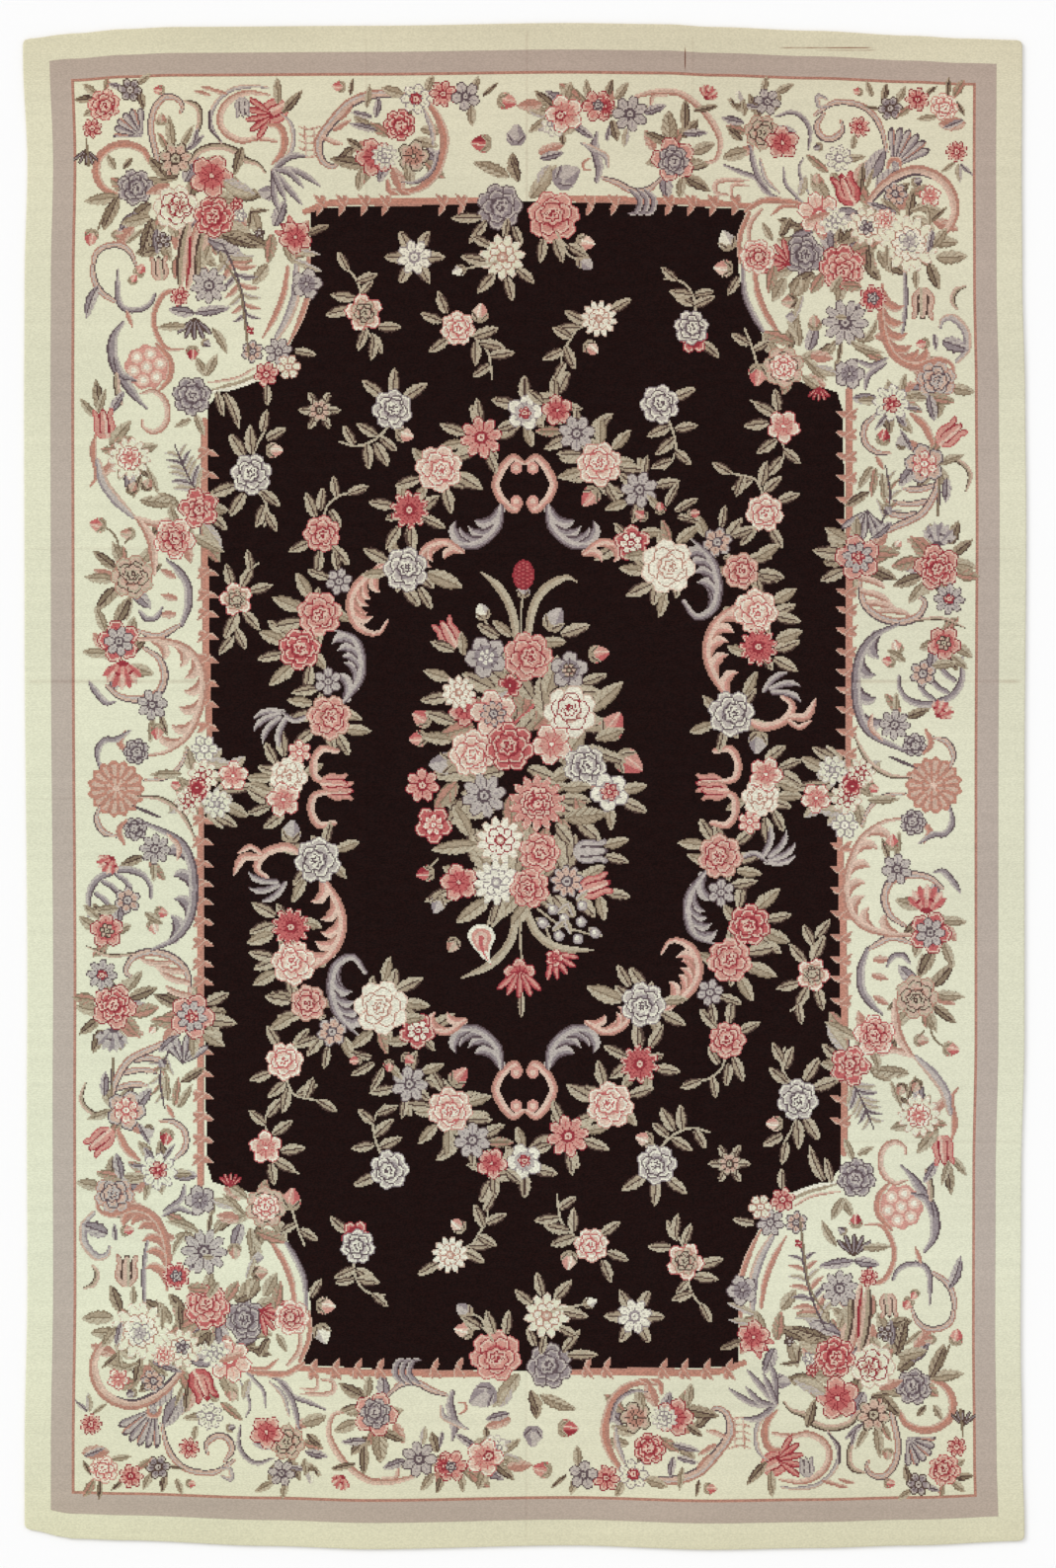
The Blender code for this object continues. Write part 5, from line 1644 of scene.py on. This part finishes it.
def work_bouquet():
    for points in BOUQUET_STEMS:
        stalk(list(points), "blade")
    band([(-7.8, 38.6), (-4.7, 36.0), (-2.3, 31.6), (-1.2, 25.4)], 1.5, "blade", ends=(0.2, 0.8))
    band([(9.4, 37.0), (7.4, 37.7), (3.8, 35.8), (1.6, 32.4), (0.5, 26.8)], 1.5, "blade", ends=(0.2, 0.8))
    band([(-1.3, -22.6), (-2.7, -28.0), (-6.2, -32.0), (-11.4, -34.4)], 1.5, "blade", ends=(0.8, 0.2))
    band([(0.2, -22.0), (2.2, -26.3), (6.2, -29.0), (12.4, -29.4)], 1.5, "blade", ends=(0.8, 0.2))
    scroll([(-2.4, 11.6), (1.2, 15.6), (4.8, 18.4)], 2.4,
           ((-0.4, "coral"), (-0.1, "khaki"), (0.3, "salmon"), (0.6, "khaki"), (1, "coral")))
    foliage(-0.5, 3.5, 12.0, 17.5, 62, 6.4, ("night", "khaki", "night", "tan"))
    foliage(1.0, -16.5, 11.0, 5.0, 20, 6.0, ("night", "khaki"))
    work(BOUQUET)
    for number, (x, y) in enumerate(BOUQUET_BERRIES):
        leaf(x - 1.2, y + 0.9, 3.0, -30 + 70 * (number % 3), "pale", 0.24)
        spot = Spot(x, y, 1.2)
        spot.paint(spot.r < 0.95, "slate")
        spot.paint(spot.r < 0.70, "lilac")
        spot.paint(np.hypot(spot.u + 0.2, spot.v - 0.25) < 0.36, "white")


def foliage(x, y, wide, high, count, length, ways):
    """A bed of leaves under a bunch of flowers, each pointing outwards."""
    for number in range(count):
        angle = math.radians(137.5 * number + 7 * x)
        out = math.sqrt((number + 0.5) / count)
        place = (x + wide * out * math.cos(angle), y + high * out * math.sin(angle))
        turn = math.degrees(angle) + 50 * math.sin(number * 2.3 + y)
        leaf(*place, length * (0.85 + 0.3 * (number * 0.618 % 1)), turn, ways[number % len(ways)], 0.30)


def work_border_foliage():
    day = ("khaki", "dark", "tan", "grey", "khaki", "pink")
    foliage(-61.5, 104.5, 10.5, 7.0, 24, 5.2, day)
    foliage(-59.5, 97.0, 7.0, 4.0, 10, 4.8, day)
    foliage(-44.5, 97.5, 4.0, 5.0, 7, 4.6, day)
    foliage(-23.5, 115.5, 7.5, 4.5, 15, 4.4, day)
    foliage(10.5, 121.5, 9.0, 2.6, 12, 4.2, day)
    foliage(26.8, 113.2, 4.6, 4.2, 8, 4.6, day)
    foliage(41.8, 119.0, 3.6, 4.2, 7, 4.2, day)
    foliage(63.0, 101.5, 12.0, 7.0, 30, 5.2, day)
    foliage(53.0, 94.5, 8.5, 4.5, 14, 5.0, day)
    foliage(58.5, 80.0, 5.0, 4.0, 6, 4.4, day)
    foliage(48.5, 77.0, 4.5, 4.5, 8, 4.6, day)
    foliage(74.0, 72.5, 3.0, 3.0, 6, 4.6, day)
    foliage(66.0, 69.0, 3.6, 2.6, 6, 4.2, day)
    foliage(-60.6, 47.8, 4.0, 4.6, 9, 4.6, day)
    foliage(-71.0, 38.0, 3.0, 3.0, 6, 4.6, day)
    foliage(-71.4, 59.0, 2.8, 2.6, 6, 4.0, day)
    foliage(-73.0, 24.5, 2.8, 4.0, 7, 4.4, day)
    foliage(60.0, 41.5, 3.4, 3.4, 8, 4.8, day)
    foliage(74.4, 41.0, 3.2, 4.2, 9, 4.8, day)
    foliage(75.0, 26.0, 2.4, 2.8, 5, 4.2, day)
    foliage(72.4, 58.4, 3.0, 2.6, 6, 4.2, day)
    foliage(57.5, 1.8, 4.4, 2.6, 7, 4.4, ("khaki", "pale"))
    foliage(-57.0, 2.0, 4.0, 2.6, 6, 4.4, ("khaki", "pale"))


def work_field_foliage():
    night = ("night", "night", "khaki")
    for x, y in ((-7.8, 62.9), (-15.4, 57.3), (-20.7, 49.9), (-21.4, 39.2), (-36.9, 31.2), (-40.5, 24.8),
                 (-35.2, 12.5), (-42.0, 3.0), (0.0, 67.4), (5.9, 67.8), (9.4, 63.6), (13.4, 58.1),
                 (20.7, 53.5), (19.4, 43.9), (25.8, 39.7), (34.7, 44.1), (38.9, 39.7), (41.6, 31.7),
                 (42.3, 25.2), (37.2, 13.2), (43.0, 3.0)):
        foliage(x, y, 3.0, 3.0, 4, 4.4, night)


def work_chart():
    """The whole pattern, from the plain borders inwards."""
    global copies
    work_plain_borders()
    work_field()
    copies = TWICE
    work_border_foliage()
    work_ribbon()
    work_top_left_tassel()
    work_top_left_scrolls()
    work_left_corner_edge()
    work(TOP_LEFT_CORNER)
    work_top_border_scrolls()
    work_top_right_scrolls()
    work(TOP_BORDER)
    work(TOP_RIGHT_CORNER)
    work(LEFT_EDGE_FLOWERS)
    work_left_border_scrolls()
    work(LEFT_BORDER)
    work_right_border_scrolls()
    work(RIGHT_BORDER)
    work(SIDE_MIDDLES)
    for points in FIELD_STEMS:
        stalk(list(points), "night")
    work(FIELD_SPRAYS)
    work_field_foliage()
    work_wreath_scrolls()
    work(WREATH)
    copies = ONCE
    work_bouquet()


# The cloth
THICKNESS = 0.005
RIM_ROUND = 0.0018
CORNER_ROUND = 0.010
OPEN_PITCH = 0.028
CREASE_PITCH = 0.006
YARN_LIFT = 0.00035

# Old fold lines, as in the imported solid: direction, place, start, end, half width and height
CREASES = (
    ("along", -0.286, -0.55, 1.36, 0.036, 0.0016),
    ("along", 0.004, -1.36, 0.95, 0.030, -0.0010),
    ("along", 0.302, -1.10, 1.36, 0.036, 0.0014),
    ("across", 0.430, -0.90, 0.90, 0.036, 0.0016),
    ("across", 0.190, -0.62, 0.90, 0.030, -0.0010),
    ("across", -0.020, -0.90, 0.72, 0.036, 0.0018),
    ("across", -0.640, -0.50, 0.90, 0.032, -0.0008),
)
CREASE_FADE = 0.24


def crease_rise(x, y):
    """Height of the fold lines at places in metres."""
    rise = np.zeros(np.broadcast(x, y).shape)
    for direction, place, start, end, half_width, height in CREASES:
        across, along = (x, y) if direction == "along" else (y, x)
        off = np.minimum(np.abs(across - place) / half_width, 1)
        strength = np.clip(np.minimum(along - start, end - along) / CREASE_FADE, 0, 1)
        rise = rise + strength * height * 0.5 * (1 + np.cos(math.pi * off))
    return rise


def grid_lines(length, direction):
    """Places of the cloth's grid lines: close ones over the folds and over the rounded rim."""
    half = length / 2
    rim = [0.0, 0.0003, 0.0009, RIM_ROUND, 0.0045, CORNER_ROUND]
    places = [-half + d for d in rim] + [half - d for d in rim]
    for kind, place, _, _, half_width, _ in CREASES:
        if kind == direction:
            steps = round(half_width / CREASE_PITCH)
            places += [place + half_width * step / steps for step in range(-steps, steps + 1)]
    for even in np.linspace(-half + 0.03, half - 0.03, round(length / OPEN_PITCH)):
        if min(abs(even - other) for other in places) > 0.4 * OPEN_PITCH:
            places.append(even)
    return np.array(sorted(places))


def round_plan_corners(x, y):
    """Draws the square corners of the grid in to quarter circles."""
    a = (np.abs(x) - WIDTH / 2) / CORNER_ROUND + 1
    b = (np.abs(y) - LENGTH / 2) / CORNER_ROUND + 1
    corner = (a > 0) & (b > 0)
    pull = np.maximum(a, b) / np.maximum(np.hypot(a, b), 1e-9)
    moved_x = np.sign(x) * (WIDTH / 2 - CORNER_ROUND + CORNER_ROUND * a * pull)
    moved_y = np.sign(y) * (LENGTH / 2 - CORNER_ROUND + CORNER_ROUND * b * pull)
    return np.where(corner, moved_x, x), np.where(corner, moved_y, y)


def mesh_object(name, places, faces, face_uvs):
    """A smooth mesh from places, quads and a UV for each corner of each quad."""
    mesh = bpy.data.meshes.new(name)
    mesh.vertices.add(len(places))
    mesh.vertices.foreach_set("co", np.asarray(places, np.float32).ravel())
    mesh.loops.add(faces.size)
    mesh.loops.foreach_set("vertex_index", faces.astype(np.int32).ravel())
    mesh.polygons.add(len(faces))
    mesh.polygons.foreach_set("loop_start", np.arange(0, faces.size, 4, dtype=np.int32))
    mesh.update(calc_edges=True)
    layer = mesh.uv_layers.new(name="OFBake")
    layer.data.foreach_set("uv", face_uvs.astype(np.float32).ravel())
    mesh.validate()
    mesh.shade_smooth()
    made = bpy.data.objects.new(name, mesh)
    bpy.context.scene.collection.objects.link(made)
    return made


def flat_uv(x, y, half=0.0, wide=1.0):
    """The bake map's place of a place on the rug."""
    u = half + wide * ((x + 0.92) / 1.84 * 0.98 + 0.01)
    v = (y + 1.39) / 2.78 * 0.98 + 0.01
    return np.stack([u, v], -1)


def make_cloth():
    """The woven cloth itself: a closed slab with a rounded rim, its folds on both faces."""
    x, y = np.meshgrid(grid_lines(WIDTH, "along"), grid_lines(LENGTH, "across"))
    depth = np.minimum(WIDTH / 2 - np.abs(x), LENGTH / 2 - np.abs(y))
    into = np.clip(RIM_ROUND - depth, 0, None)
    curve = RIM_ROUND - np.sqrt(np.clip(RIM_ROUND ** 2 - into ** 2, 0, None))
    x, y = round_plan_corners(x, y)
    rise = crease_rise(x, y)
    x, y = fit_to_edges(x, y)
    top = np.stack([x, y, THICKNESS + rise - curve], -1).reshape(-1, 3)
    low = np.stack([x, y, np.clip(rise, 0, None) + curve], -1).reshape(-1, 3)
    count = x.size
    number = np.arange(count).reshape(x.shape)
    upper = np.stack([number[:-1, :-1], number[:-1, 1:], number[1:, 1:], number[1:, :-1]], -1).reshape(-1, 4)
    lower = upper[:, ::-1]
    ring = np.concatenate([number[0, :-1], number[:-1, -1], number[-1, :0:-1], number[:0:-1, 0]])
    after = np.roll(ring, -1)
    wall = np.stack([ring, ring + count, after + count, after], -1)
    faces = np.concatenate([upper, lower + count, wall])
    uv_top = flat_uv(x, y, 0.0, 0.5).reshape(-1, 2)
    uv_low = flat_uv(x, y, 0.5, 0.5).reshape(-1, 2)
    uv_rim = flat_uv(x * 1.006, y * 1.004, 0.0, 0.5).reshape(-1, 2)
    uv_wall = np.stack([uv_top[ring], uv_rim[ring], uv_rim[after], uv_top[after]], 1)
    made = mesh_object("rug_cloth", np.concatenate([top, low]), faces,
                       np.concatenate([uv_top[upper], uv_low[lower], uv_wall]))
    slots = np.zeros(len(faces), np.int32)
    slots[len(upper):2 * len(upper)] = 1
    made.data.polygons.foreach_set("material_index", slots)
    return made


# The yarns: each colour is one piece of joined rectangles that lies on the cloth
LONGEST = 5


def rectangles(mask):
    """Cuts a mask into rectangles: row runs, and equal runs stacked, up to LONGEST stitches."""
    rows = []
    open_runs = {}
    for row in range(mask.shape[0] + 1):
        runs = {}
        if row < mask.shape[0]:
            line = np.concatenate([[0], mask[row].astype(np.int8), [0]])
            starts = np.flatnonzero(np.diff(line) == 1)
            ends = np.flatnonzero(np.diff(line) == -1)
            for start, end in zip(starts, ends):
                cuts = [start] + list(range((start // LONGEST + 1) * LONGEST, end, LONGEST)) + [end]
                for left, right in zip(cuts, cuts[1:]):
                    runs[(left, right)] = row
        for key, first in open_runs.items():
            if key in runs and row % LONGEST:
                runs[key] = first
            else:
                rows.append((key[0], key[1], first, row))
        open_runs = runs
    return np.array(rows, float)


def make_yarn(name):
    """All the stitches of one colour, as quads just above the cloth."""
    boxes = rectangles(chart == YARN_INDEX[name])
    left = (boxes[:, 0] - COLUMNS / 2) * STITCH / 100
    right = (boxes[:, 1] - COLUMNS / 2) * STITCH / 100
    high = (ROWS / 2 - boxes[:, 2]) * STITCH / 100
    low = (ROWS / 2 - boxes[:, 3]) * STITCH / 100
    x = np.stack([left, right, right, left], -1)
    y = np.stack([low, low, high, high], -1)
    z = THICKNESS + YARN_LIFT + crease_rise(x, y)
    keys = np.round(np.stack([x, y], -1).reshape(-1, 2) / (STITCH / 100) * 2).astype(np.int64)
    x, y = fit_to_edges(x, y)
    places = np.stack([x, y, z], -1).reshape(-1, 3)
    _, first, again = np.unique(keys[:, 0] * 100000 + keys[:, 1], return_index=True,
                                return_inverse=True)
    return mesh_object("yarn_" + name, places[first], again.reshape(-1, 4), flat_uv(x, y))


# The wool
def linear(rgb):
    """An 8-bit sRGB colour as linear values for a shader."""
    values = [part / 255 for part in rgb]
    return [v / 12.92 if v <= 0.04045 else ((v + 0.055) / 1.055) ** 2.4 for v in values] + [1.0]


def sums(tree, operation, *values):
    """A Math node on values that are numbers or sockets."""
    made = tree.nodes.new("ShaderNodeMath")
    made.operation = operation
    for number, value in enumerate(values):
        if isinstance(value, (int, float)):
            made.inputs[number].default_value = value
        else:
            tree.links.new(value, made.inputs[number])
    return made.outputs[0]


def remap(tree, value, low, high, to_low, to_high, smooth=True):
    made = tree.nodes.new("ShaderNodeMapRange")
    if smooth:
        made.interpolation_type = "SMOOTHSTEP"
    tree.links.new(value, made.inputs[0])
    for number, part in enumerate((low, high, to_low, to_high)):
        made.inputs[number + 1].default_value = part
    return made.outputs[0]


def noise(tree, place, stretch, detail=2.0):
    """Noise whose scale along X, Y and Z is given in turns per metre."""
    scaled = tree.nodes.new("ShaderNodeMapping")
    scaled.inputs["Scale"].default_value = stretch
    tree.links.new(place, scaled.inputs["Vector"])
    made = tree.nodes.new("ShaderNodeTexNoise")
    made.inputs["Scale"].default_value = 1.0
    made.inputs["Detail"].default_value = detail
    tree.links.new(scaled.outputs[0], made.inputs["Vector"])
    return made.outputs[0]


def blend(tree, kind, factor, first, second):
    """A colour Mix node. Its colours are sockets or linear values."""
    made = tree.nodes.new("ShaderNodeMix")
    made.data_type = "RGBA"
    made.blend_type = kind
    for socket, value in ((made.inputs[0], factor), (made.inputs[6], first), (made.inputs[7], second)):
        if isinstance(value, (int, float, tuple, list)):
            socket.default_value = value
        else:
            tree.links.new(value, socket)
    return made.outputs[2]


# Tints down the rug, from its lower end to its upper end: place from 0 to 1, then red, green, blue
TONE = (
    (0.00, 0.93, 0.91, 0.84),
    (0.05, 0.98, 0.98, 0.95),
    (0.20, 1.01, 1.05, 1.06),
    (0.50, 0.99, 1.01, 1.01),
    (0.75, 0.98, 0.98, 0.97),
    (0.95, 0.96, 0.92, 0.89),
    (1.00, 0.92, 0.86, 0.81),
)

# Thin marks: direction, place, start, end, half width and strength, in metres
MARKS = (
    ("across", 0.190, -0.90, -0.58, 0.0060, 0.24),
    ("across", 0.190, 0.58, 0.90, 0.0060, 0.24),
    ("along", 0.004, 1.04, 1.37, 0.0040, 0.20),
    ("along", 0.289, 1.06, 1.30, 0.0030, 0.12),
    ("across", 1.3310, 0.455, 0.630, 0.0020, 1.5),
    ("across", 1.3265, 0.520, 0.640, 0.0014, 0.9),
    ("along", 0.289, 1.286, 1.338, 0.0018, 1.8),
)
# The colour that the thin marks and the painted shade along the folds multiply into the wool
MARK_AND_FOLD_SHADE_COLOR = (0.42, 0.24, 0.20, 1)


def strip(tree, axes, direction, place, start, end, half_width):
    """1 on a straight line, down to 0 at its half width and near its ends."""
    across, along = (axes[0], axes[1]) if direction == "along" else (axes[1], axes[0])
    off = sums(tree, "ABSOLUTE", sums(tree, "SUBTRACT", across, place))
    line = remap(tree, off, 0.0, half_width, 1.0, 0.0)
    enter = remap(tree, along, start, start + 0.02, 0.0, 1.0)
    leave = remap(tree, along, end - 0.02, end, 1.0, 0.0)
    return sums(tree, "MULTIPLY", line, sums(tree, "MULTIPLY", enter, leave))


def tone_and_light_group():
    """Shared by all the wools: the first output is the aged tone with painted light on the left side, the second
    the thin marks with painted shade along each fold, the third the height of the fold lines.
    """
    group = bpy.data.node_groups.new("aged_tone_and_painted_light", "ShaderNodeTree")
    group.interface.new_socket("Tint", in_out="OUTPUT", socket_type="NodeSocketColor")
    group.interface.new_socket("Mark_and_fold_shade", in_out="OUTPUT", socket_type="NodeSocketFloat")
    group.interface.new_socket("Height", in_out="OUTPUT", socket_type="NodeSocketFloat")
    out = group.nodes.new("NodeGroupOutput")
    place = group.nodes.new("ShaderNodeTexCoord").outputs["Object"]
    split = group.nodes.new("ShaderNodeSeparateXYZ")
    group.links.new(place, split.inputs[0])
    axes = (split.outputs[0], split.outputs[1])

    ramp = group.nodes.new("ShaderNodeValToRGB")
    while len(ramp.color_ramp.elements) < len(TONE):
        ramp.color_ramp.elements.new(0.5)
    for element, (at, red, green, blue) in zip(ramp.color_ramp.elements, TONE):
        element.position = at
        element.color = (red, green, blue, 1)
    group.links.new(remap(group, axes[1], -1.375, 1.375, 0, 1, smooth=False), ramp.inputs[0])
    patches = noise(group, place, (2.2, 3.0, 1.0), 3.0)
    rows = noise(group, place, (1.2, 60.0, 1.0), 2.0)
    wander = sums(group, "MULTIPLY", noise(group, place, (3.0, 30.0, 1.0), 1.0), 9.0)
    ribs = sums(group, "SINE", sums(group, "ADD", sums(group, "MULTIPLY", axes[1], 1500.0), wander))
    shade = sums(group, "ADD", remap(group, patches, 0.3, 0.7, 0.955, 1.02),
                 remap(group, rows, 0.3, 0.7, -0.02, 0.02))
    shade = sums(group, "ADD", shade, sums(group, "MULTIPLY", ribs, 0.012))
    grey = group.nodes.new("ShaderNodeCombineColor")
    for socket in grey.inputs:
        group.links.new(shade, socket)
    tint_and_side_light = blend(group, "MULTIPLY", 1.0, ramp.outputs[0], grey.outputs[0])
    # Painted light: the whole rug is coloured brighter towards its left side, as if more light fell there
    left = remap(group, axes[0], -0.85, 0.10, 1, 0)
    tint_and_side_light = blend(group, "MULTIPLY", left, tint_and_side_light, (1.035, 1.06, 1.045, 1))
    group.links.new(tint_and_side_light, out.inputs["Tint"])

    marks = 0.0
    for direction, at, start, end, half_width, strength in MARKS:
        line = strip(group, axes, direction, at, start, end, half_width)
        marks = sums(group, "ADD", marks, sums(group, "MULTIPLY", line, strength))
    broken = remap(group, noise(group, place, (9.0, 9.0, 9.0), 3.0), 0.35, 0.6, 0.30, 1.0)
    folds = 0.0
    for direction, at, start, end, half_width, height in CREASES:
        line = strip(group, axes, direction, at, start, end, 0.0045)
        folds = sums(group, "ADD", folds, sums(group, "MULTIPLY", line, 1.0 if height > 0 else -1.0))
    # Painted shade: a thin line down the middle of each fold is darkened, as the shade in the crease
    painted_fold_shade = sums(group, "MULTIPLY", sums(group, "ABSOLUTE", folds), 0.09)
    # The thin marks and the painted fold shade together, broken up by noise
    marks_and_fold_shade = sums(group, "MINIMUM", sums(group, "MULTIPLY", sums(group, "ADD", marks, painted_fold_shade), broken), 1.0)
    group.links.new(marks_and_fold_shade, out.inputs["Mark_and_fold_shade"])
    group.links.new(folds, out.inputs["Height"])
    return group


def wool(name, rgb, tone, fleck=0.10, sheen=0.10):
    """Weft-faced wool: a heathered colour, fine weft lines, a soft nap and the aged tone, with painted light on
    the left side and painted shade along the folds.
    """
    material = bpy.data.materials.new(name)
    material.use_nodes = True
    tree = material.node_tree
    shader = tree.nodes["Principled BSDF"]
    place = tree.nodes.new("ShaderNodeTexCoord").outputs["Object"]
    tone_and_light = tree.nodes.new("ShaderNodeGroup")
    tone_and_light.node_tree = tone

    fine = noise(tree, place, (260.0, 620.0, 60.0), 2.0)
    heather = noise(tree, place, (34.0, 90.0, 20.0), 2.0)
    dark = [part * (1 - 2.2 * fleck) for part in linear(rgb)[:3]] + [1]
    light = [min(part * (1 + 1.5 * fleck), 1) for part in linear(rgb)[:3]] + [1]
    color = blend(tree, "MIX", remap(tree, fine, 0.32, 0.68, 0, 1), dark, light)
    color = blend(tree, "MULTIPLY", 1.0, color, tone_and_light.outputs["Tint"])
    # Darkened towards a brownish red by the thin marks and by the painted shade along the folds
    marked_and_fold_shaded = blend(tree, "MULTIPLY", 1.0, color, MARK_AND_FOLD_SHADE_COLOR)
    color = blend(tree, "MIX", tone_and_light.outputs["Mark_and_fold_shade"], color, marked_and_fold_shaded)
    tree.links.new(color, shader.inputs["Base Color"])
    rough = remap(tree, heather, 0.3, 0.7, 0.88, 0.98)
    tree.links.new(rough, shader.inputs["Roughness"])
    shader.inputs["Specular IOR Level"].default_value = 0.12
    shader.inputs["Sheen Weight"].default_value = sheen
    shader.inputs["Sheen Roughness"].default_value = 0.5

    nap = tree.nodes.new("ShaderNodeBump")
    nap.inputs["Strength"].default_value = 0.35
    nap.inputs["Distance"].default_value = 0.0004
    tree.links.new(fine, nap.inputs["Height"])
    fold = tree.nodes.new("ShaderNodeBump")
    fold.inputs["Strength"].default_value = 1.0
    fold.inputs["Distance"].default_value = 0.0004
    tree.links.new(tone_and_light.outputs["Height"], fold.inputs["Height"])
    tree.links.new(nap.outputs[0], fold.inputs["Normal"])
    pucker = tree.nodes.new("ShaderNodeBump")
    pucker.inputs["Strength"].default_value = 0.6
    pucker.inputs["Distance"].default_value = 0.003
    tree.links.new(noise(tree, place, (9.0, 16.0, 1.0), 2.0), pucker.inputs["Height"])
    tree.links.new(fold.outputs[0], pucker.inputs["Normal"])
    tree.links.new(pucker.outputs[0], shader.inputs["Normal"])
    return material


def backing():
    """The underside: plain canvas with crossed threads and a few yarn ends that show through."""
    material = bpy.data.materials.new("canvas_back")
    material.use_nodes = True
    tree = material.node_tree
    shader = tree.nodes["Principled BSDF"]
    place = tree.nodes.new("ShaderNodeTexCoord").outputs["Object"]
    warp = noise(tree, place, (520.0, 40.0, 1.0), 2.0)
    weft = noise(tree, place, (40.0, 520.0, 1.0), 2.0)
    threads = sums(tree, "MAXIMUM", warp, weft)
    color = blend(tree, "MIX", remap(tree, threads, 0.42, 0.74, 0, 1), linear((168, 150, 118)),
                  linear((206, 190, 158)))
    ends = noise(tree, place, (150.0, 60.0, 1.0), 1.0)
    color = blend(tree, "MIX", remap(tree, ends, 0.70, 0.76, 0, 0.6), color, linear((150, 104, 92)))
    tree.links.new(color, shader.inputs["Base Color"])
    shader.inputs["Roughness"].default_value = 0.95
    shader.inputs["Specular IOR Level"].default_value = 0.15
    bump = tree.nodes.new("ShaderNodeBump")
    bump.inputs["Strength"].default_value = 0.6
    bump.inputs["Distance"].default_value = 0.0006
    tree.links.new(threads, bump.inputs["Height"])
    tree.links.new(bump.outputs[0], shader.inputs["Normal"])
    return material


def make_rug():
    """The cloth and one piece for each yarn. The ivory yarn is the cloth's own."""
    work_chart()
    tone = tone_and_light_group()
    cloth = make_cloth()
    cloth.data.materials.append(wool("ivory_wool", YARNS["ivory"], tone, 0.045))
    cloth.data.materials.append(backing())
    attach(cloth, "root")
    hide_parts("rug")
    yarns = []
    for name, rgb in YARNS.items():
        if name == "ivory":
            continue
        piece = make_yarn(name)
        fleck = 0.25 if name == "black" else 0.05 if name == "mauve" else 0.12
        sheen = 0.02 if name == "black" else 0.10
        piece.data.materials.append(wool(name + "_wool", rgb, tone, fleck, sheen))
        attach(piece, "root")
        yarns.append(piece)
    print("yarn triangles", [(piece.name, 2 * len(piece.data.polygons)) for piece in yarns])
    return cloth, yarns


# The studio
PIXEL = 0.001778
IMAGE_WIDE = 1069
IMAGE_HIGH = 1588
RUG_MIDDLE_PX = (531, 797)
CAMERA_HEIGHT = 8.0


def make_floor():
    bpy.ops.object.select_all(action="DESELECT")
    bpy.ops.mesh.primitive_plane_add(size=14, location=(0, 0, -0.0005))
    floor = bpy.context.object
    floor.name = "studio_floor"
    material = bpy.data.materials.new("floor_paper")
    material.use_nodes = True
    shader = material.node_tree.nodes["Principled BSDF"]
    shader.inputs["Base Color"].default_value = (0.97, 0.97, 0.97, 1)
    shader.inputs["Roughness"].default_value = 0.9
    floor.data.materials.append(material)
    return floor


def make_camera():
    """Straight above the rug: the photo's frame at the rug's upper face."""
    camera = bpy.data.cameras.new("camera")
    holder = bpy.data.objects.new("camera", camera)
    bpy.context.scene.collection.objects.link(holder)
    x = (IMAGE_WIDE / 2 - RUG_MIDDLE_PX[0]) * PIXEL
    y = (RUG_MIDDLE_PX[1] - IMAGE_HIGH / 2) * PIXEL
    holder.location = (x, y, CAMERA_HEIGHT + THICKNESS)
    camera.sensor_fit = "VERTICAL"
    camera.sensor_height = 36
    camera.lens = 36 * CAMERA_HEIGHT / (IMAGE_HIGH * PIXEL)
    camera.clip_end = 100
    bpy.context.scene.camera = holder


def make_lights():
    """A bright even studio, and a broad light from the upper left that shows the folds."""
    scene = bpy.context.scene
    scene.view_settings.view_transform = "Standard"
    scene.world = bpy.data.worlds.new("studio")
    scene.world.use_nodes = True
    back = scene.world.node_tree.nodes["Background"]
    back.inputs["Color"].default_value = (1, 1, 1, 1)
    back.inputs["Strength"].default_value = 0.80
    light = bpy.data.lights.new("window", "SUN")
    light.energy = 1.3
    light.angle = math.radians(24)
    holder = bpy.data.objects.new("window", light)
    holder.rotation_euler = (0, math.radians(-60), math.radians(-35))
    scene.collection.objects.link(holder)


def main():
    cloth, yarns = make_rug()
    floor = make_floor()
    make_camera()
    make_lights()


main()
